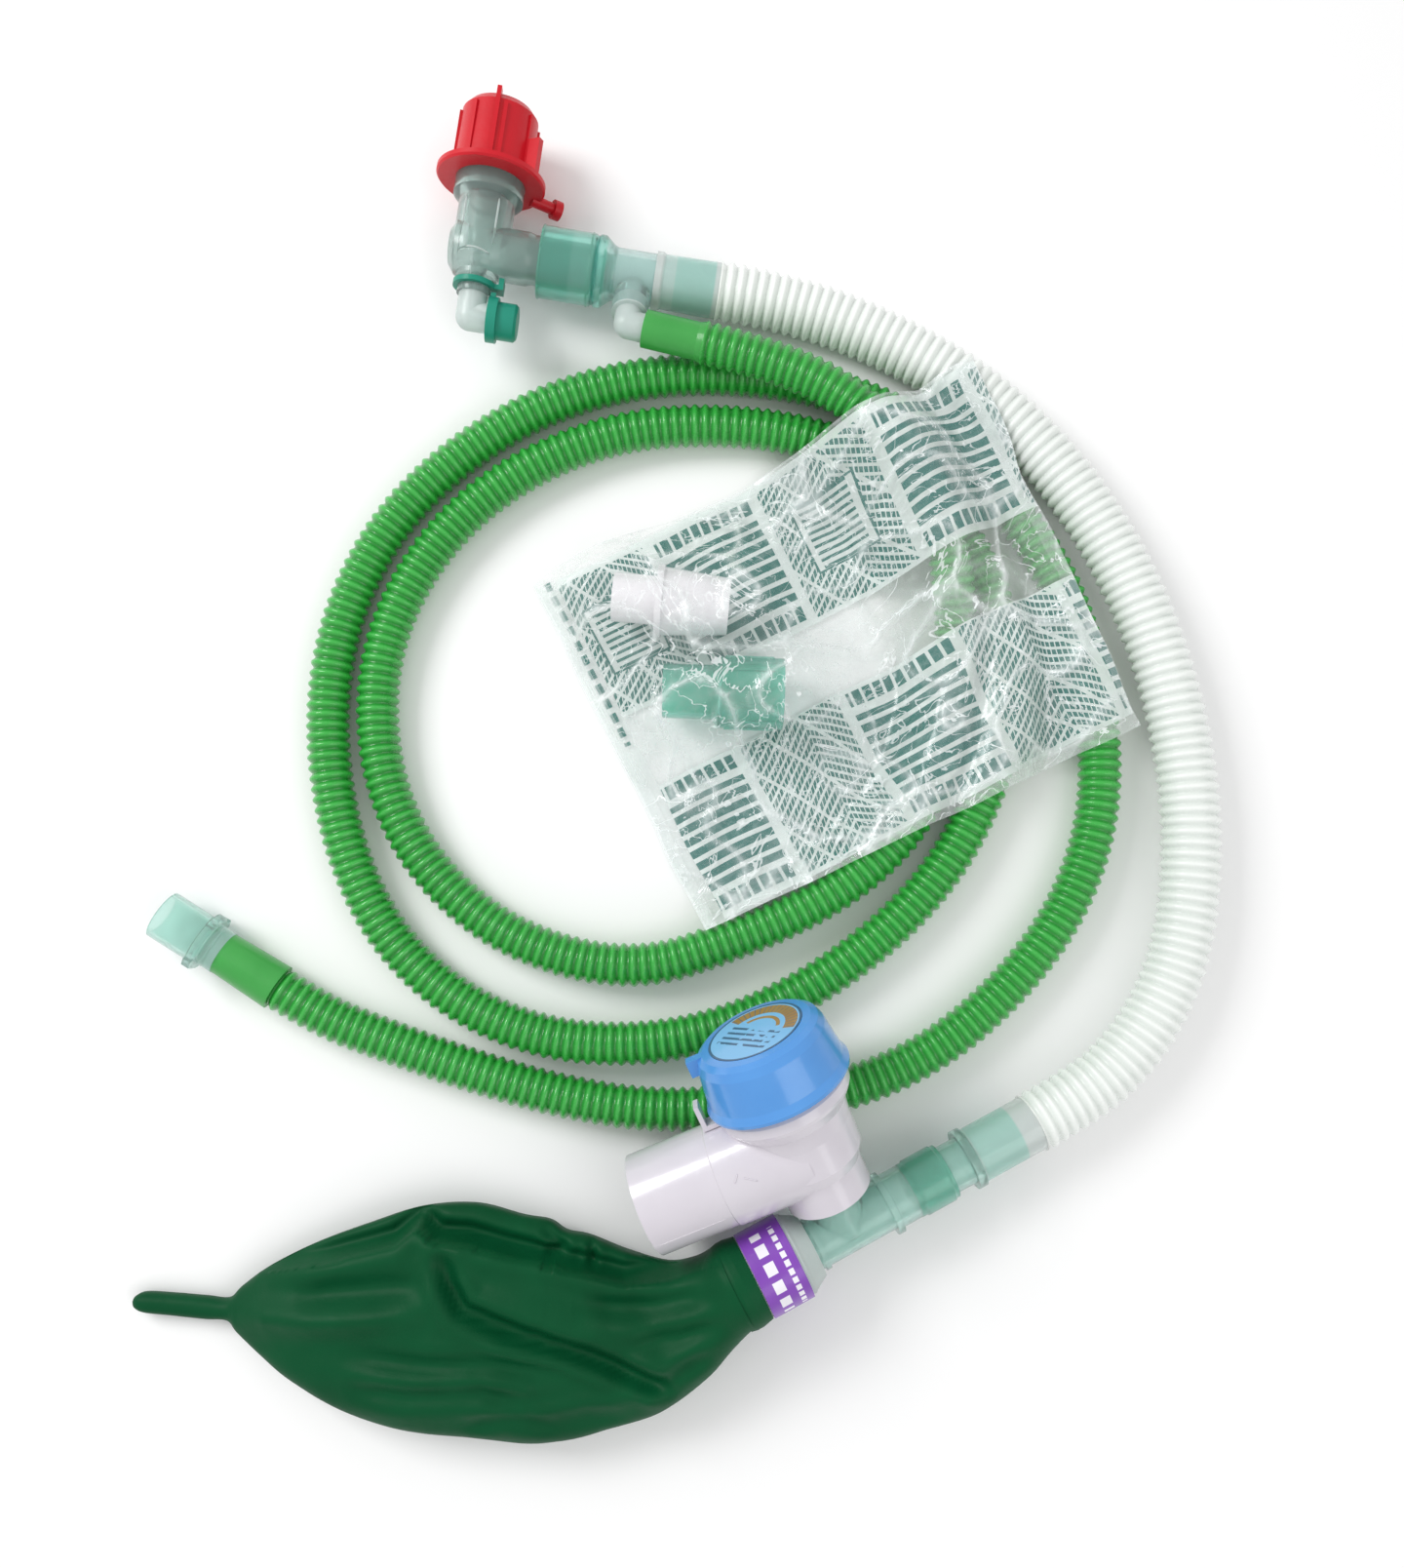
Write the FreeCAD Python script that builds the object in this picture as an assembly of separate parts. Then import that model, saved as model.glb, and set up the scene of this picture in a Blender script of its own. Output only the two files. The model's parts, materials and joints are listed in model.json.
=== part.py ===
"""Paediatric T-piece breathing system with a 0.5 L reservoir bag, laid out on a flat surface.

Millimetres, +Z up. The rigid fittings take their places from the ends of the two hoses: the patient
tee lies in line with the breathing hose's first run, the bag tee with its last run, and the
gas inlet and the machine-end connector lie at the two ends of the fresh gas hose.
"""
import FreeCAD, Part
import math
import os

Vec = FreeCAD.Vector

# ---- driving dimensions -------------------------------------------------------------------
HOSE_OD = 13.5           # fresh gas hose, over the corrugations
BREATHING_OD = 18.5      # breathing hose, over the corrugations
MALE_15 = 7.6            # radius of a 15 mm male cone
MALE_22 = 11.0           # radius of a 22 mm male cone
MALE_30 = 15.0           # radius of the 30 mm exhaust cone
FIT = 0.05               # radial clearance of a taper that turns
GAP = 0.3                # clearance between pieces that move past each other
WALL = 1.4               # wall of the moulded connectors

BAG_LENGTH = 150.0       # from the neck ring to the root of the tail
BAG_WIDTH = 64.0
BAG_DEPTH = 24.0         # the slack bag lies this high
TAIL_LENGTH = 30.0

VALVE_TILT = 20.5        # the valve branch rises by this many degrees
OUTLET_DIP = 12.5        # the exhaust outlet dips until it rests on the surface
OUTLET_LENGTH = 50.0
KNOB_RADIUS = 21.6
KNOB_HEIGHT = 17.5
KNOB_TURN = 270.0        # degrees of adjustment
SPINDLE_TRAVEL = 6.0

ELBOW_DIP = 0.0          # the patient port lies level, its cap's flange on the surface
CAP_FLANGE_RADIUS = 17.2

POUCH_LENGTH = 147.0
POUCH_WIDTH = 122.0
POUCH_ANGLE = 26.6
POUCH_CENTRE = Vec(40.5, 41.5, 0)
FILM = 0.4

# The layout is moved by this much, so that the fittings' box stands centred on the origin.
LAYOUT_SHIFT = Vec(19.2, -12.3, 0)

# ---- hose routes, chosen point by point -----------------------------------------------------
LOW = HOSE_OD / 2
GAS_ROUTE = [Vec(*p) for p in (
    (0.6, 135.3, 21.5), (24, 129.5, 21.5), (47, 117.5, 21.5), (65, 98.5, 21.3), (76, 74, 18),
    (79.5, 49, 10.5), (78.5, 26, LOW), (73.5, 5, LOW), (64, -14, LOW), (49, -29, LOW), (29, -41, LOW),
    (5, -50.5, LOW), (-15, -57, LOW), (-39, -55.5, LOW), (-67, -44, LOW), (-90, -21, LOW),
    (-101.5, 9, LOW), (-101, 43, LOW), (-86.5, 74, LOW), (-62, 97.5, LOW), (-28, 112.5, LOW),
    (8, 115, LOW), (43, 109, LOW), (72, 93, LOW), (89, 67, LOW), (95.5, 39, LOW), (93, 12, LOW),
    (84, -12.5, LOW), (70, -33.5, LOW), (51.5, -51, LOW), (29, -66, LOW), (3, -77, LOW), (-24, -81, LOW),
    (-51, -78, LOW), (-76, -67, LOW), (-96, -49, LOW), (-109, -25, LOW), (-116, 3, LOW),
    (-117, 31, LOW), (-111.5, 58, LOW), (-98, 84, LOW), (-76, 106, LOW), (-49, 122, LOW),
    (-19, 130.5, LOW), (12, 131.5, LOW), (42, 126.5, LOW), (69.5, 114.5, LOW), (91.5, 95, LOW),
    (109.3, 71, LOW), (119.5, 44, LOW), (124.3, 14, LOW), (122.3, -14.5, LOW), (112, -40.5, LOW),
    (94.5, -63, LOW), (72, -82, LOW), (45.5, -94, LOW), (16, -98.5, LOW), (-14, -100.5, LOW),
    (-43, -96, LOW), (-71, -88, LOW), (-98, -78.5, LOW), (-116, -71.6, 7.0), (-129.3, -63.2, 7.9))]
BREATHING_ROUTE = [Vec(*p) for p in (
    (5, 156.7, 11.5), (27.6, 153.7, 9.5), (58, 142.3, 9.25), (87, 125, 9.25), (111.5, 101.5, 9.25),
    (130.5, 71.5, 9.25), (143.6, 38, 9.25), (150.3, 2, 9.25), (150.3, -28, 9.25), (146, -52, 9.25),
    (139, -68.5, 9.25), (129, -83, 9.25), (115.5, -94.7, 9.8), (98.8, -103.2, 11.5))]


# ---- helpers --------------------------------------------------------------------------------
def unit(vector):
    return Vec(vector) / vector.Length


def turned(*outline):
    """Solid of revolution about Z from (radius, height) points."""
    points = [Vec(r, 0, z) for r, z in outline]
    face = Part.Face(Part.makePolygon(points + points[:1]))
    return face.revolve(Vec(0, 0, 0), Vec(0, 0, 1), 360)


def tube(outer, inner, low, high):
    return turned((inner, low), (outer, low), (outer, high), (inner, high))


def rod(radius, low, high):
    return Part.makeCylinder(radius, high - low, Vec(0, 0, low))


def placed(shape, origin, axis, side):
    """The shape with its Z turned onto axis and its X turned as near to side as it can be."""
    axis = unit(axis)
    side = unit(side - axis * side.dot(axis))
    moved = shape.copy()
    moved.Placement = FreeCAD.Placement(origin, FreeCAD.Rotation(side, axis.cross(side), axis, "ZXY"))
    return moved


def cord_path(points):
    """Straight runs joined by tangent arcs; returns the wire, its length and its smallest radius."""
    edges = []
    radii = []
    start = points[0]
    for before, corner, after in zip(points, points[1:], points[2:]):
        arrive = corner - before
        leave = after - corner
        half = arrive.getAngle(leave) / 2
        reach = 0.45 * min(arrive.Length, leave.Length)
        arc_start = corner - unit(arrive) * reach
        arc_end = corner + unit(leave) * reach
        radius = reach / math.tan(half)
        radii.append(radius)
        inward = unit(unit(leave) - unit(arrive))
        middle = corner + inward * (radius / math.cos(half) - radius)
        edges.append(Part.LineSegment(start, arc_start).toShape())
        edges.append(Part.Arc(arc_start, middle, arc_end).toShape())
        start = arc_end
    edges.append(Part.LineSegment(start, points[-1]).toShape())
    wire = Part.Wire(edges)
    return wire, wire.Length, radii


def cord_tube(name, points, diameter):
    wire, length, radii = cord_path(points)
    ring = Part.Wire(Part.makeCircle(diameter / 2, points[0], unit(points[1] - points[0])))
    shell = wire.makePipeShell([ring], True, False)
    section = math.pi * diameter ** 2 / 4
    print(name, "length", round(length, 1), "volume share", round(shell.Volume / section / length, 4))
    print(name, "radii", [round(r) for r in radii])
    return shell


def save(name, shape):
    moved = shape.copy()
    moved.translate(LAYOUT_SHIFT)
    if not moved.isValid() or len(moved.Solids) != 1:
        print("CHECK", name, "valid", moved.isValid(), "solids", len(moved.Solids))
    moved = moved.Solids[0] if len(moved.Solids) == 1 else moved
    moved.exportStep("parts/" + name + ".step")
    return moved


os.makedirs("parts", exist_ok=True)
UP = Vec(0, 0, 1)

# ---- fresh gas hose and its ends ------------------------------------------------------------
CUFF_LENGTH = 19.0
CUFF_RADIUS = 5.8
MACHINE_CUFF = 19.5
MACHINE_CUFF_ROOT = 7.2
MACHINE_CUFF_TIP = 6.6
NIPPLE_RADIUS = 4.4
NIPPLE_BORE = 2.6
NECK_RADIUS = 6.8
NECK_LENGTH = 5.0
MACHINE_FLANGE_RADIUS = 9.25
MACHINE_FLANGE = 2.6
MACHINE_MALE = 14.5


def fresh_gas_hose():
    save("fresh_gas_hose", cord_tube("fresh_gas_hose", GAS_ROUTE, HOSE_OD))


def inlet_cuff():
    axis = GAS_ROUTE[0] - GAS_ROUTE[1]
    body = turned((NIPPLE_RADIUS, 0), (CUFF_RADIUS + 0.6, 0), (CUFF_RADIUS, 2), (CUFF_RADIUS, CUFF_LENGTH),
                  (NIPPLE_RADIUS, CUFF_LENGTH))
    save("fresh_gas_cuff_patient", placed(body, GAS_ROUTE[0], axis, UP))


def machine_end():
    axis = GAS_ROUTE[-1] - GAS_ROUTE[-2]
    cuff = turned((0, 0), (MACHINE_CUFF_ROOT, 0), (MACHINE_CUFF_TIP, MACHINE_CUFF), (0, MACHINE_CUFF))
    save("fresh_gas_cuff_machine", placed(cuff, GAS_ROUTE[-1], axis, UP))
    neck_end = MACHINE_CUFF + NECK_LENGTH
    flange_end = neck_end + MACHINE_FLANGE
    end = flange_end + MACHINE_MALE
    body = turned((0, MACHINE_CUFF), (NECK_RADIUS, MACHINE_CUFF), (NECK_RADIUS, neck_end),
                  (MACHINE_FLANGE_RADIUS - 0.8, neck_end), (MACHINE_FLANGE_RADIUS, neck_end + 0.8),
                  (MACHINE_FLANGE_RADIUS, flange_end), (MALE_15, flange_end), (MALE_15, end),
                  (MALE_15 - WALL, end), (MALE_15 - WALL, flange_end), (NIPPLE_RADIUS, neck_end),
                  (0, neck_end))
    grips = Part.makeBox(3, 3, MACHINE_FLANGE, Vec(-1.5, MACHINE_FLANGE_RADIUS - 2, neck_end))
    for turn in (45, 135, 225, 315):
        knob = grips.copy()
        knob.rotate(Vec(0, 0, 0), UP, turn)
        body = body.fuse(knob)
    body = body.removeSplitter()
    origin = GAS_ROUTE[-1]
    save("machine_connector", placed(body, origin, axis, UP))
    tip = origin + unit(axis) * end
    print("MOUNT machine_connector end", tip, "axis", unit(axis), "length", MACHINE_MALE)


# ---- patient tee, in line with the breathing hose -----------------------------------------------
TEE_AXIS = unit(BREATHING_ROUTE[1] - BREATHING_ROUTE[0])   # points along the hose, away from the patient
HOSE_CUFF = 20.5
HOSE_CUFF_RADIUS = 8.7
SOCKET_LENGTH = 20.0
SOCKET_TO_CUFF = 16.3
TEE_LENGTH = SOCKET_LENGTH + SOCKET_TO_CUFF + HOSE_CUFF
TEE_MOUTH = BREATHING_ROUTE[0] - TEE_AXIS * TEE_LENGTH
TEE_TUBE = 8.1
INLET_RADIUS = 5.7
ELBOW_REACH = 19.0       # from the socket's mouth to the elbow's corner
CORNER = TEE_MOUTH - TEE_AXIS * ELBOW_REACH

gas_axis = unit(GAS_ROUTE[0] - GAS_ROUTE[1])
NIPPLE_CORNER = GAS_ROUTE[0] + gas_axis * (CUFF_LENGTH + NIPPLE_RADIUS + 1.0)
inlet_offset = NIPPLE_CORNER - TEE_MOUTH
inlet_along = inlet_offset.dot(TEE_AXIS)
INLET_FOOT = TEE_MOUTH + TEE_AXIS * inlet_along
INLET_DIR = unit(NIPPLE_CORNER - INLET_FOOT)
INLET_REACH = (NIPPLE_CORNER - INLET_FOOT).Length
INLET_STUB = INLET_REACH - NIPPLE_RADIUS - 0.6


def patient_tee():
    cone = SOCKET_LENGTH + 3
    cuff_start = SOCKET_LENGTH + SOCKET_TO_CUFF
    body = turned((0, 0), (MALE_22, 0), (MALE_22, SOCKET_LENGTH - 3.2), (MALE_22 - 0.5, SOCKET_LENGTH - 2.8),
                  (MALE_22 - 0.5, SOCKET_LENGTH - 2.2), (MALE_22, SOCKET_LENGTH - 1.8),
                  (MALE_22, SOCKET_LENGTH), (TEE_TUBE + 0.4, cone), (TEE_TUBE, cone + 1),
                  (TEE_TUBE, cuff_start),
                  (MALE_15 - 0.2, cuff_start), (MALE_15 - 0.2, TEE_LENGTH - 1.5),
                  (0, TEE_LENGTH - 1.5))
    body = placed(body, TEE_MOUTH, TEE_AXIS, UP)
    stub = placed(rod(INLET_RADIUS, 0, INLET_STUB), INLET_FOOT, INLET_DIR, TEE_AXIS)
    body = body.fuse(stub)
    bore = turned((0, -1), (MALE_15 + FIT, -1), (MALE_15 + FIT, SOCKET_LENGTH - 2),
                  (MALE_15 - WALL, SOCKET_LENGTH),
                  (MALE_15 - WALL, TEE_LENGTH), (0, TEE_LENGTH))
    body = body.cut(placed(bore, TEE_MOUTH, TEE_AXIS, UP))
    drilling = placed(rod(NIPPLE_RADIUS, INLET_STUB - 5, INLET_STUB + 1), INLET_FOOT, INLET_DIR, TEE_AXIS)
    passage = placed(rod(NIPPLE_BORE, 0, INLET_STUB), INLET_FOOT, INLET_DIR, TEE_AXIS)
    save("patient_tee", body.cut(drilling).cut(passage).removeSplitter())


def bent_nipple(foot, first, reach, second, leg, radius, bore, shoulder):
    """A right-angle tube: from foot along first to the corner, then along second for leg."""
    corner = foot + first * reach
    start = foot + first * shoulder
    rise = (corner - start).Length
    square = first.cross(second)
    body = placed(rod(radius, 0, rise), start, first, square)
    body = body.fuse(placed(Part.makeSphere(radius), corner, square, first))
    body = body.fuse(placed(rod(radius, 0, leg), corner, second, square))
    body = body.cut(placed(rod(bore, -1, rise), start, first, square))
    body = body.cut(placed(rod(bore, 0, leg + 1), corner, second, square))
    return body.removeSplitter()


def gas_inlet_nipple():
    leg = NIPPLE_RADIUS + CUFF_LENGTH
    body = bent_nipple(INLET_FOOT, INLET_DIR, INLET_REACH, gas_axis * -1, leg, NIPPLE_RADIUS, NIPPLE_BORE,
                       INLET_STUB - 5)
    collar = tube(INLET_RADIUS, NIPPLE_RADIUS, INLET_STUB, INLET_STUB + 0.6)
    body = body.fuse(placed(collar, INLET_FOOT, INLET_DIR, TEE_AXIS))
    save("gas_inlet_nipple", body.removeSplitter())


# ---- patient elbow, dust cap and sampling port ----------------------------------------------------
across = unit(UP.cross(TEE_AXIS))
level = unit(across - TEE_AXIS * across.dot(TEE_AXIS))
lift = TEE_AXIS.cross(level)
dip = math.radians(ELBOW_DIP)
PORT_DIR = unit(level * math.cos(dip) + lift * (-math.sin(dip)))
ELBOW_TUBE = 8.8
COLLAR_START = 16.5
COLLAR_END = 40.0
FLANGE_START = 22.5
FLANGE = 2.0
CAP_LENGTH = 25.0
CAP_WALL = 1.3
SAMPLE_RADIUS = 5.3
SAMPLE_REACH = 14.5
SAMPLE_NIPPLE = 4.5
SAMPLE_TURN = 21.5
SAMPLE_LEG = 5.3
CAP_DISC = 7.0
STRAP_AT = 10.8
STRAP_WIDE = 1.6
SWIVEL_DEPTH = 16.0
ELBOW_BORE = 6.0
ELBOW_SIDE = PORT_DIR.cross(TEE_AXIS)


def patient_elbow():
    port = turned((0, -8.8), (5.2, -8.8), (7.8, -7), (ELBOW_TUBE, -4), (ELBOW_TUBE, COLLAR_START - 1),
                  (MALE_22 - 0.8, COLLAR_START),
                  (MALE_22, COLLAR_START + 0.8), (MALE_22, COLLAR_END), (0, COLLAR_END))
    male = turned((0, -9.3), (5.6, -9.3), (8.3, -7.4), (9.2, -4.4), (9.2, 4.2), (ELBOW_TUBE - 0.6, 7),
                  (ELBOW_TUBE - 0.6, ELBOW_REACH - 4), (MALE_15, ELBOW_REACH - 2),
                  (MALE_15, ELBOW_REACH + SWIVEL_DEPTH), (0, ELBOW_REACH + SWIVEL_DEPTH))
    stub = turned((0, 0.5), (SAMPLE_RADIUS + 1.2, 0.5), (SAMPLE_RADIUS + 1.2, 9.5), (SAMPLE_RADIUS, 10.5),
                  (SAMPLE_RADIUS, SAMPLE_REACH), (0, SAMPLE_REACH))
    socket = turned((0, -2), (ELBOW_BORE, -2), (ELBOW_BORE, COLLAR_START + 2),
                    (MALE_15 + FIT, COLLAR_START + 4), (MALE_15 + FIT, COLLAR_END + 1), (0, COLLAR_END + 1))
    body = placed(port, CORNER, PORT_DIR, ELBOW_SIDE)
    body = body.fuse(placed(male, CORNER, TEE_AXIS, ELBOW_SIDE))
    body = body.fuse(placed(stub, CORNER, PORT_DIR * -1, ELBOW_SIDE))
    body = body.cut(placed(socket, CORNER, PORT_DIR, ELBOW_SIDE))
    body = body.cut(placed(rod(MALE_15 - WALL, 0.5, 60), CORNER, TEE_AXIS, ELBOW_SIDE))
    body = body.cut(placed(rod(2.0, 0.7, SAMPLE_REACH), CORNER, PORT_DIR * -1, ELBOW_SIDE))
    seat = rod(SAMPLE_NIPPLE - 0.8, SAMPLE_REACH - 5, SAMPLE_REACH + 1)
    body = body.cut(placed(seat, CORNER, PORT_DIR * -1, ELBOW_SIDE))
    save("patient_elbow", body)
    tip = CORNER + PORT_DIR * COLLAR_END
    print("MOUNT patient_port tip", tip, "axis", PORT_DIR, "bore", MALE_15 + FIT)
    print("JOINT elbow_swivel pos", TEE_MOUTH, "axis", TEE_AXIS)


def sampling_nipple():
    foot = CORNER
    down = PORT_DIR * -1
    body = bent_nipple(foot, down, SAMPLE_TURN, TEE_AXIS, SAMPLE_LEG, SAMPLE_NIPPLE, 1.6, SAMPLE_REACH)
    plug = tube(SAMPLE_NIPPLE - 0.8, 1.6, SAMPLE_REACH - 5, SAMPLE_REACH)
    body = body.fuse(placed(plug, CORNER, down, TEE_AXIS))
    save("sampling_nipple", body.removeSplitter())


def port_cap():
    down = PORT_DIR * -1
    centre = CORNER + down * SAMPLE_TURN
    face = SAMPLE_LEG + GAP
    normal = down.cross(TEE_AXIS)
    cap = turned((0, face), (CAP_DISC, face), (CAP_DISC, face + 3), (CAP_DISC - 1.2, face + 3),
                 (CAP_DISC - 1.2, face + 8.5), (CAP_DISC - 2, face + 9.3), (0, face + 9.3))
    cap = placed(cap, centre, TEE_AXIS, down)
    arm = Part.makeBox(2, 5, 1.6, Vec(-CAP_DISC - 0.9, -2.5, face))
    cap = cap.fuse(placed(arm, centre, TEE_AXIS, down))
    save("port_cap", cap.removeSplitter())
    pivot = centre - down * (CAP_DISC + 1.1) + TEE_AXIS * (face + 0.8)
    print("JOINT port_cap_flip pos", pivot, "axis", normal)
    ring = tube(SAMPLE_RADIUS + 1.5, SAMPLE_RADIUS + FIT / 2, STRAP_AT, STRAP_AT + STRAP_WIDE)
    strap = placed(ring, CORNER, down, TEE_AXIS)
    link = Part.makeBox(5, 1.6, 3.8, Vec(-2.5, SAMPLE_RADIUS + 2.2, STRAP_AT + STRAP_WIDE - 3.8))
    foot = Part.makeBox(5, 3.6, STRAP_WIDE, Vec(-2.5, SAMPLE_RADIUS + 0.2, STRAP_AT))
    strap = strap.fuse(placed(link.fuse(foot), CORNER, down, normal * -1))
    save("port_cap_strap", strap.removeSplitter())


def dust_cap():
    inner = MALE_22 + FIT
    outer = inner + CAP_WALL
    top = FLANGE_START + CAP_LENGTH
    body = turned((inner, FLANGE_START), (CAP_FLANGE_RADIUS - 0.6, FLANGE_START),
                  (CAP_FLANGE_RADIUS, FLANGE_START + 0.6), (CAP_FLANGE_RADIUS, FLANGE_START + FLANGE),
                  (outer, FLANGE_START + FLANGE + 0.8), (outer - 0.3, top - 3), (outer - 2.2, top - 0.6),
                  (outer - 4, top), (0, top), (0, top - 1.6), (inner - 1.5, top - 1.6),
                  (inner - 1.2, COLLAR_END + GAP),
                  (inner, COLLAR_END + GAP))
    rib = Part.makeBox(1.2, 1.1, CAP_LENGTH - 6, Vec(-0.6, outer - 0.6, FLANGE_START + FLANGE))
    for turn in range(0, 360, 45):
        bar = rib.copy()
        bar.rotate(Vec(0, 0, 0), UP, turn + 12)
        body = body.fuse(bar)
    fin = Part.makeBox(1.4, 3.2, CAP_LENGTH - 3, Vec(-0.7, outer - 2.6, FLANGE_START + FLANGE + 1.5))
    fin.rotate(Vec(0, 0, 0), UP, 180)
    body = body.fuse(fin)
    wing = Part.makeBox(5.5, 2.2, 12, Vec(outer - 1, -1.1, FLANGE_START + FLANGE - 1))
    wing.rotate(Vec(0, 0, 0), UP, -30)
    body = body.fuse(wing)
    stem = Part.makeCylinder(1.9, 8.5, Vec(CAP_FLANGE_RADIUS - 3, 0, FLANGE_START + 0.4), Vec(1, 0, 0))
    head = Part.makeCylinder(3.1, 2.6, Vec(CAP_FLANGE_RADIUS + 4.6, 0, FLANGE_START + 0.4), Vec(1, 0, 0))
    spigot = stem.fuse(head)
    spigot.rotate(Vec(0, 0, 0), UP, 27)
    body = body.fuse(spigot)
    keep = tube(60, inner, FLANGE_START - 5, COLLAR_END + GAP).fuse(rod(60, COLLAR_END + GAP, top + 5))
    body = body.common(keep)
    save("red_dust_cap", placed(body.removeSplitter(), CORNER, PORT_DIR, TEE_AXIS))


# ---- breathing hose ----------------------------------------------------------------------------
BAG_CUFF = 21.0
BAG_CUFF_RADIUS = 8.4


def breathing_hose():
    save("breathing_hose", cord_tube("breathing_hose", BREATHING_ROUTE, BREATHING_OD))
    inner = MALE_15 - 0.2
    cuff = turned((inner, 0), (HOSE_CUFF_RADIUS, 0), (HOSE_CUFF_RADIUS - 0.3, HOSE_CUFF - 3),
                  (HOSE_CUFF_RADIUS + 0.3, HOSE_CUFF - 2), (HOSE_CUFF_RADIUS + 0.3, HOSE_CUFF),
                  (inner, HOSE_CUFF))
    save("breathing_cuff_patient", placed(cuff, BREATHING_ROUTE[0], TEE_AXIS * -1, UP))
    inner = MALE_15 - 0.4
    cuff = tube(BAG_CUFF_RADIUS, inner, 0, BAG_CUFF)
    save("breathing_cuff_bag", placed(cuff, BREATHING_ROUTE[-1], INLINE, UP))


# ---- bag tee, in line with the breathing hose's other end ---------------------------------------
INLINE = unit(BREATHING_ROUTE[-1] - BREATHING_ROUTE[-2])    # points from the hose to the bag
TEE_CENTRE = BREATHING_ROUTE[-1] + INLINE * 64.0
CUFF_END = 64.0 - BAG_CUFF   # distances from the tee's centre, towards the hose
RING_FLANGE = 2.6
SLEEVE_NEAR = 18.5
SLEEVE_FAR = 34.0
TEE_BODY = 7.6
TEE_RING_AT = 14.0
BUSH_TIP = -11.5
BUSH_ROOT = -31.0
BUSH_RADIUS = 12.2
BUSH_BORE = 7.7
LABEL_NEAR = -17.3
LABEL_FAR = -30.3
NECK_NEAR = -30.6
NECK_FAR = -38.0
NECK_OUTER = 13.3
BRANCH_SADDLE = 8.0
PORT_MOUTH = 13.0
BRANCH_END = 27.0

side_in_plane = unit(UP.cross(INLINE * -1))
side_lift = (INLINE * -1).cross(side_in_plane)
tilt = math.radians(VALVE_TILT)
VALVE_AXIS = unit(side_in_plane * math.cos(tilt) + side_lift * math.sin(tilt))
TO_HOSE = INLINE * -1


def inline(shape):
    """Place a shape drawn along Z, with Z towards the hose and 0 at the bag tee's centre."""
    return placed(shape, TEE_CENTRE, TO_HOSE, VALVE_AXIS.cross(INLINE))


def on_branch(shape):
    """Place a shape drawn along Z on the valve's axis, with X along the exhaust outlet."""
    dip_angle = math.radians(OUTLET_DIP)
    normal = VALVE_AXIS.cross(INLINE)
    outlet = INLINE * math.cos(dip_angle) + normal * (math.sin(dip_angle) * (1 if normal.z < 0 else -1))
    return placed(shape, TEE_CENTRE, VALVE_AXIS, outlet)


def straight_connector():
    male = MALE_15 - 0.4
    end = CUFF_END + BAG_CUFF - 1
    body = turned((male - WALL, SLEEVE_NEAR + 3), (male, SLEEVE_NEAR + 3), (male, CUFF_END - RING_FLANGE),
                  (9.2, CUFF_END - RING_FLANGE), (9.2, CUFF_END), (male, CUFF_END), (male, end),
                  (male - WALL, end))
    save("straight_connector", inline(body))
    inner = male
    sleeve = turned((inner, SLEEVE_NEAR + 3), (8.3, SLEEVE_NEAR + 3), (8.3, SLEEVE_NEAR + 4.5),
                    (8.7, SLEEVE_NEAR + 5),
                    (8.7, SLEEVE_FAR - 1.5), (8.3, SLEEVE_FAR - 1), (8.3, SLEEVE_FAR), (inner, SLEEVE_FAR))
    save("connector_sleeve", inline(sleeve))


def bag_tee():
    body = turned((0, BUSH_ROOT + 6), (TEE_BODY, BUSH_ROOT + 6), (TEE_BODY, -10.6), (8.3, -10.6),
                  (8.3, -9), (TEE_BODY, -9),
                  (TEE_BODY, TEE_RING_AT - 1), (9.4, TEE_RING_AT - 1), (9.4, TEE_RING_AT + 1),
                  (8.2, TEE_RING_AT + 1),
                  (8.2, SLEEVE_NEAR + 3), (0, SLEEVE_NEAR + 3))
    body = inline(body)
    branch = turned((0, 0), (BRANCH_SADDLE, 0), (BRANCH_SADDLE, PORT_MOUTH - 2),
                    (MALE_22 - 0.6, PORT_MOUTH - 1),
                    (MALE_22, PORT_MOUTH - 0.4), (MALE_22, BRANCH_END), (0, BRANCH_END))
    body = body.fuse(on_branch(branch))
    body = body.cut(inline(rod(TEE_BODY - WALL, BUSH_ROOT, SLEEVE_NEAR + 5)))
    body = body.cut(on_branch(turned((0, 0), (BRANCH_SADDLE - WALL, 0), (BRANCH_SADDLE - WALL, PORT_MOUTH),
                                     (MALE_22 - WALL, PORT_MOUTH + 2), (MALE_22 - WALL, BRANCH_END + 1),
                                     (0, BRANCH_END + 1))))
    save("bag_tee", body.removeSplitter())


def bag_neck():
    bush = turned((TEE_BODY, BUSH_TIP), (9.4, BUSH_TIP), (BUSH_RADIUS - 0.6, BUSH_TIP - 4),
                  (BUSH_RADIUS, BUSH_TIP - 4.8),
                  (BUSH_RADIUS, BUSH_ROOT), (TEE_BODY, BUSH_ROOT))
    save("bag_bush", inline(bush))
    save("bag_label_band", inline(tube(12.9, BUSH_RADIUS, LABEL_FAR, LABEL_NEAR)))
    neck = turned((0, NECK_FAR), (NECK_OUTER - 0.4, NECK_FAR), (NECK_OUTER, NECK_FAR + 2),
                  (NECK_OUTER, NECK_FAR + 4),
                  (12.6, NECK_NEAR), (BUSH_RADIUS, NECK_NEAR), (BUSH_RADIUS, BUSH_ROOT), (0, BUSH_ROOT))
    save("bag_neck_ring", inline(neck))


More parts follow.
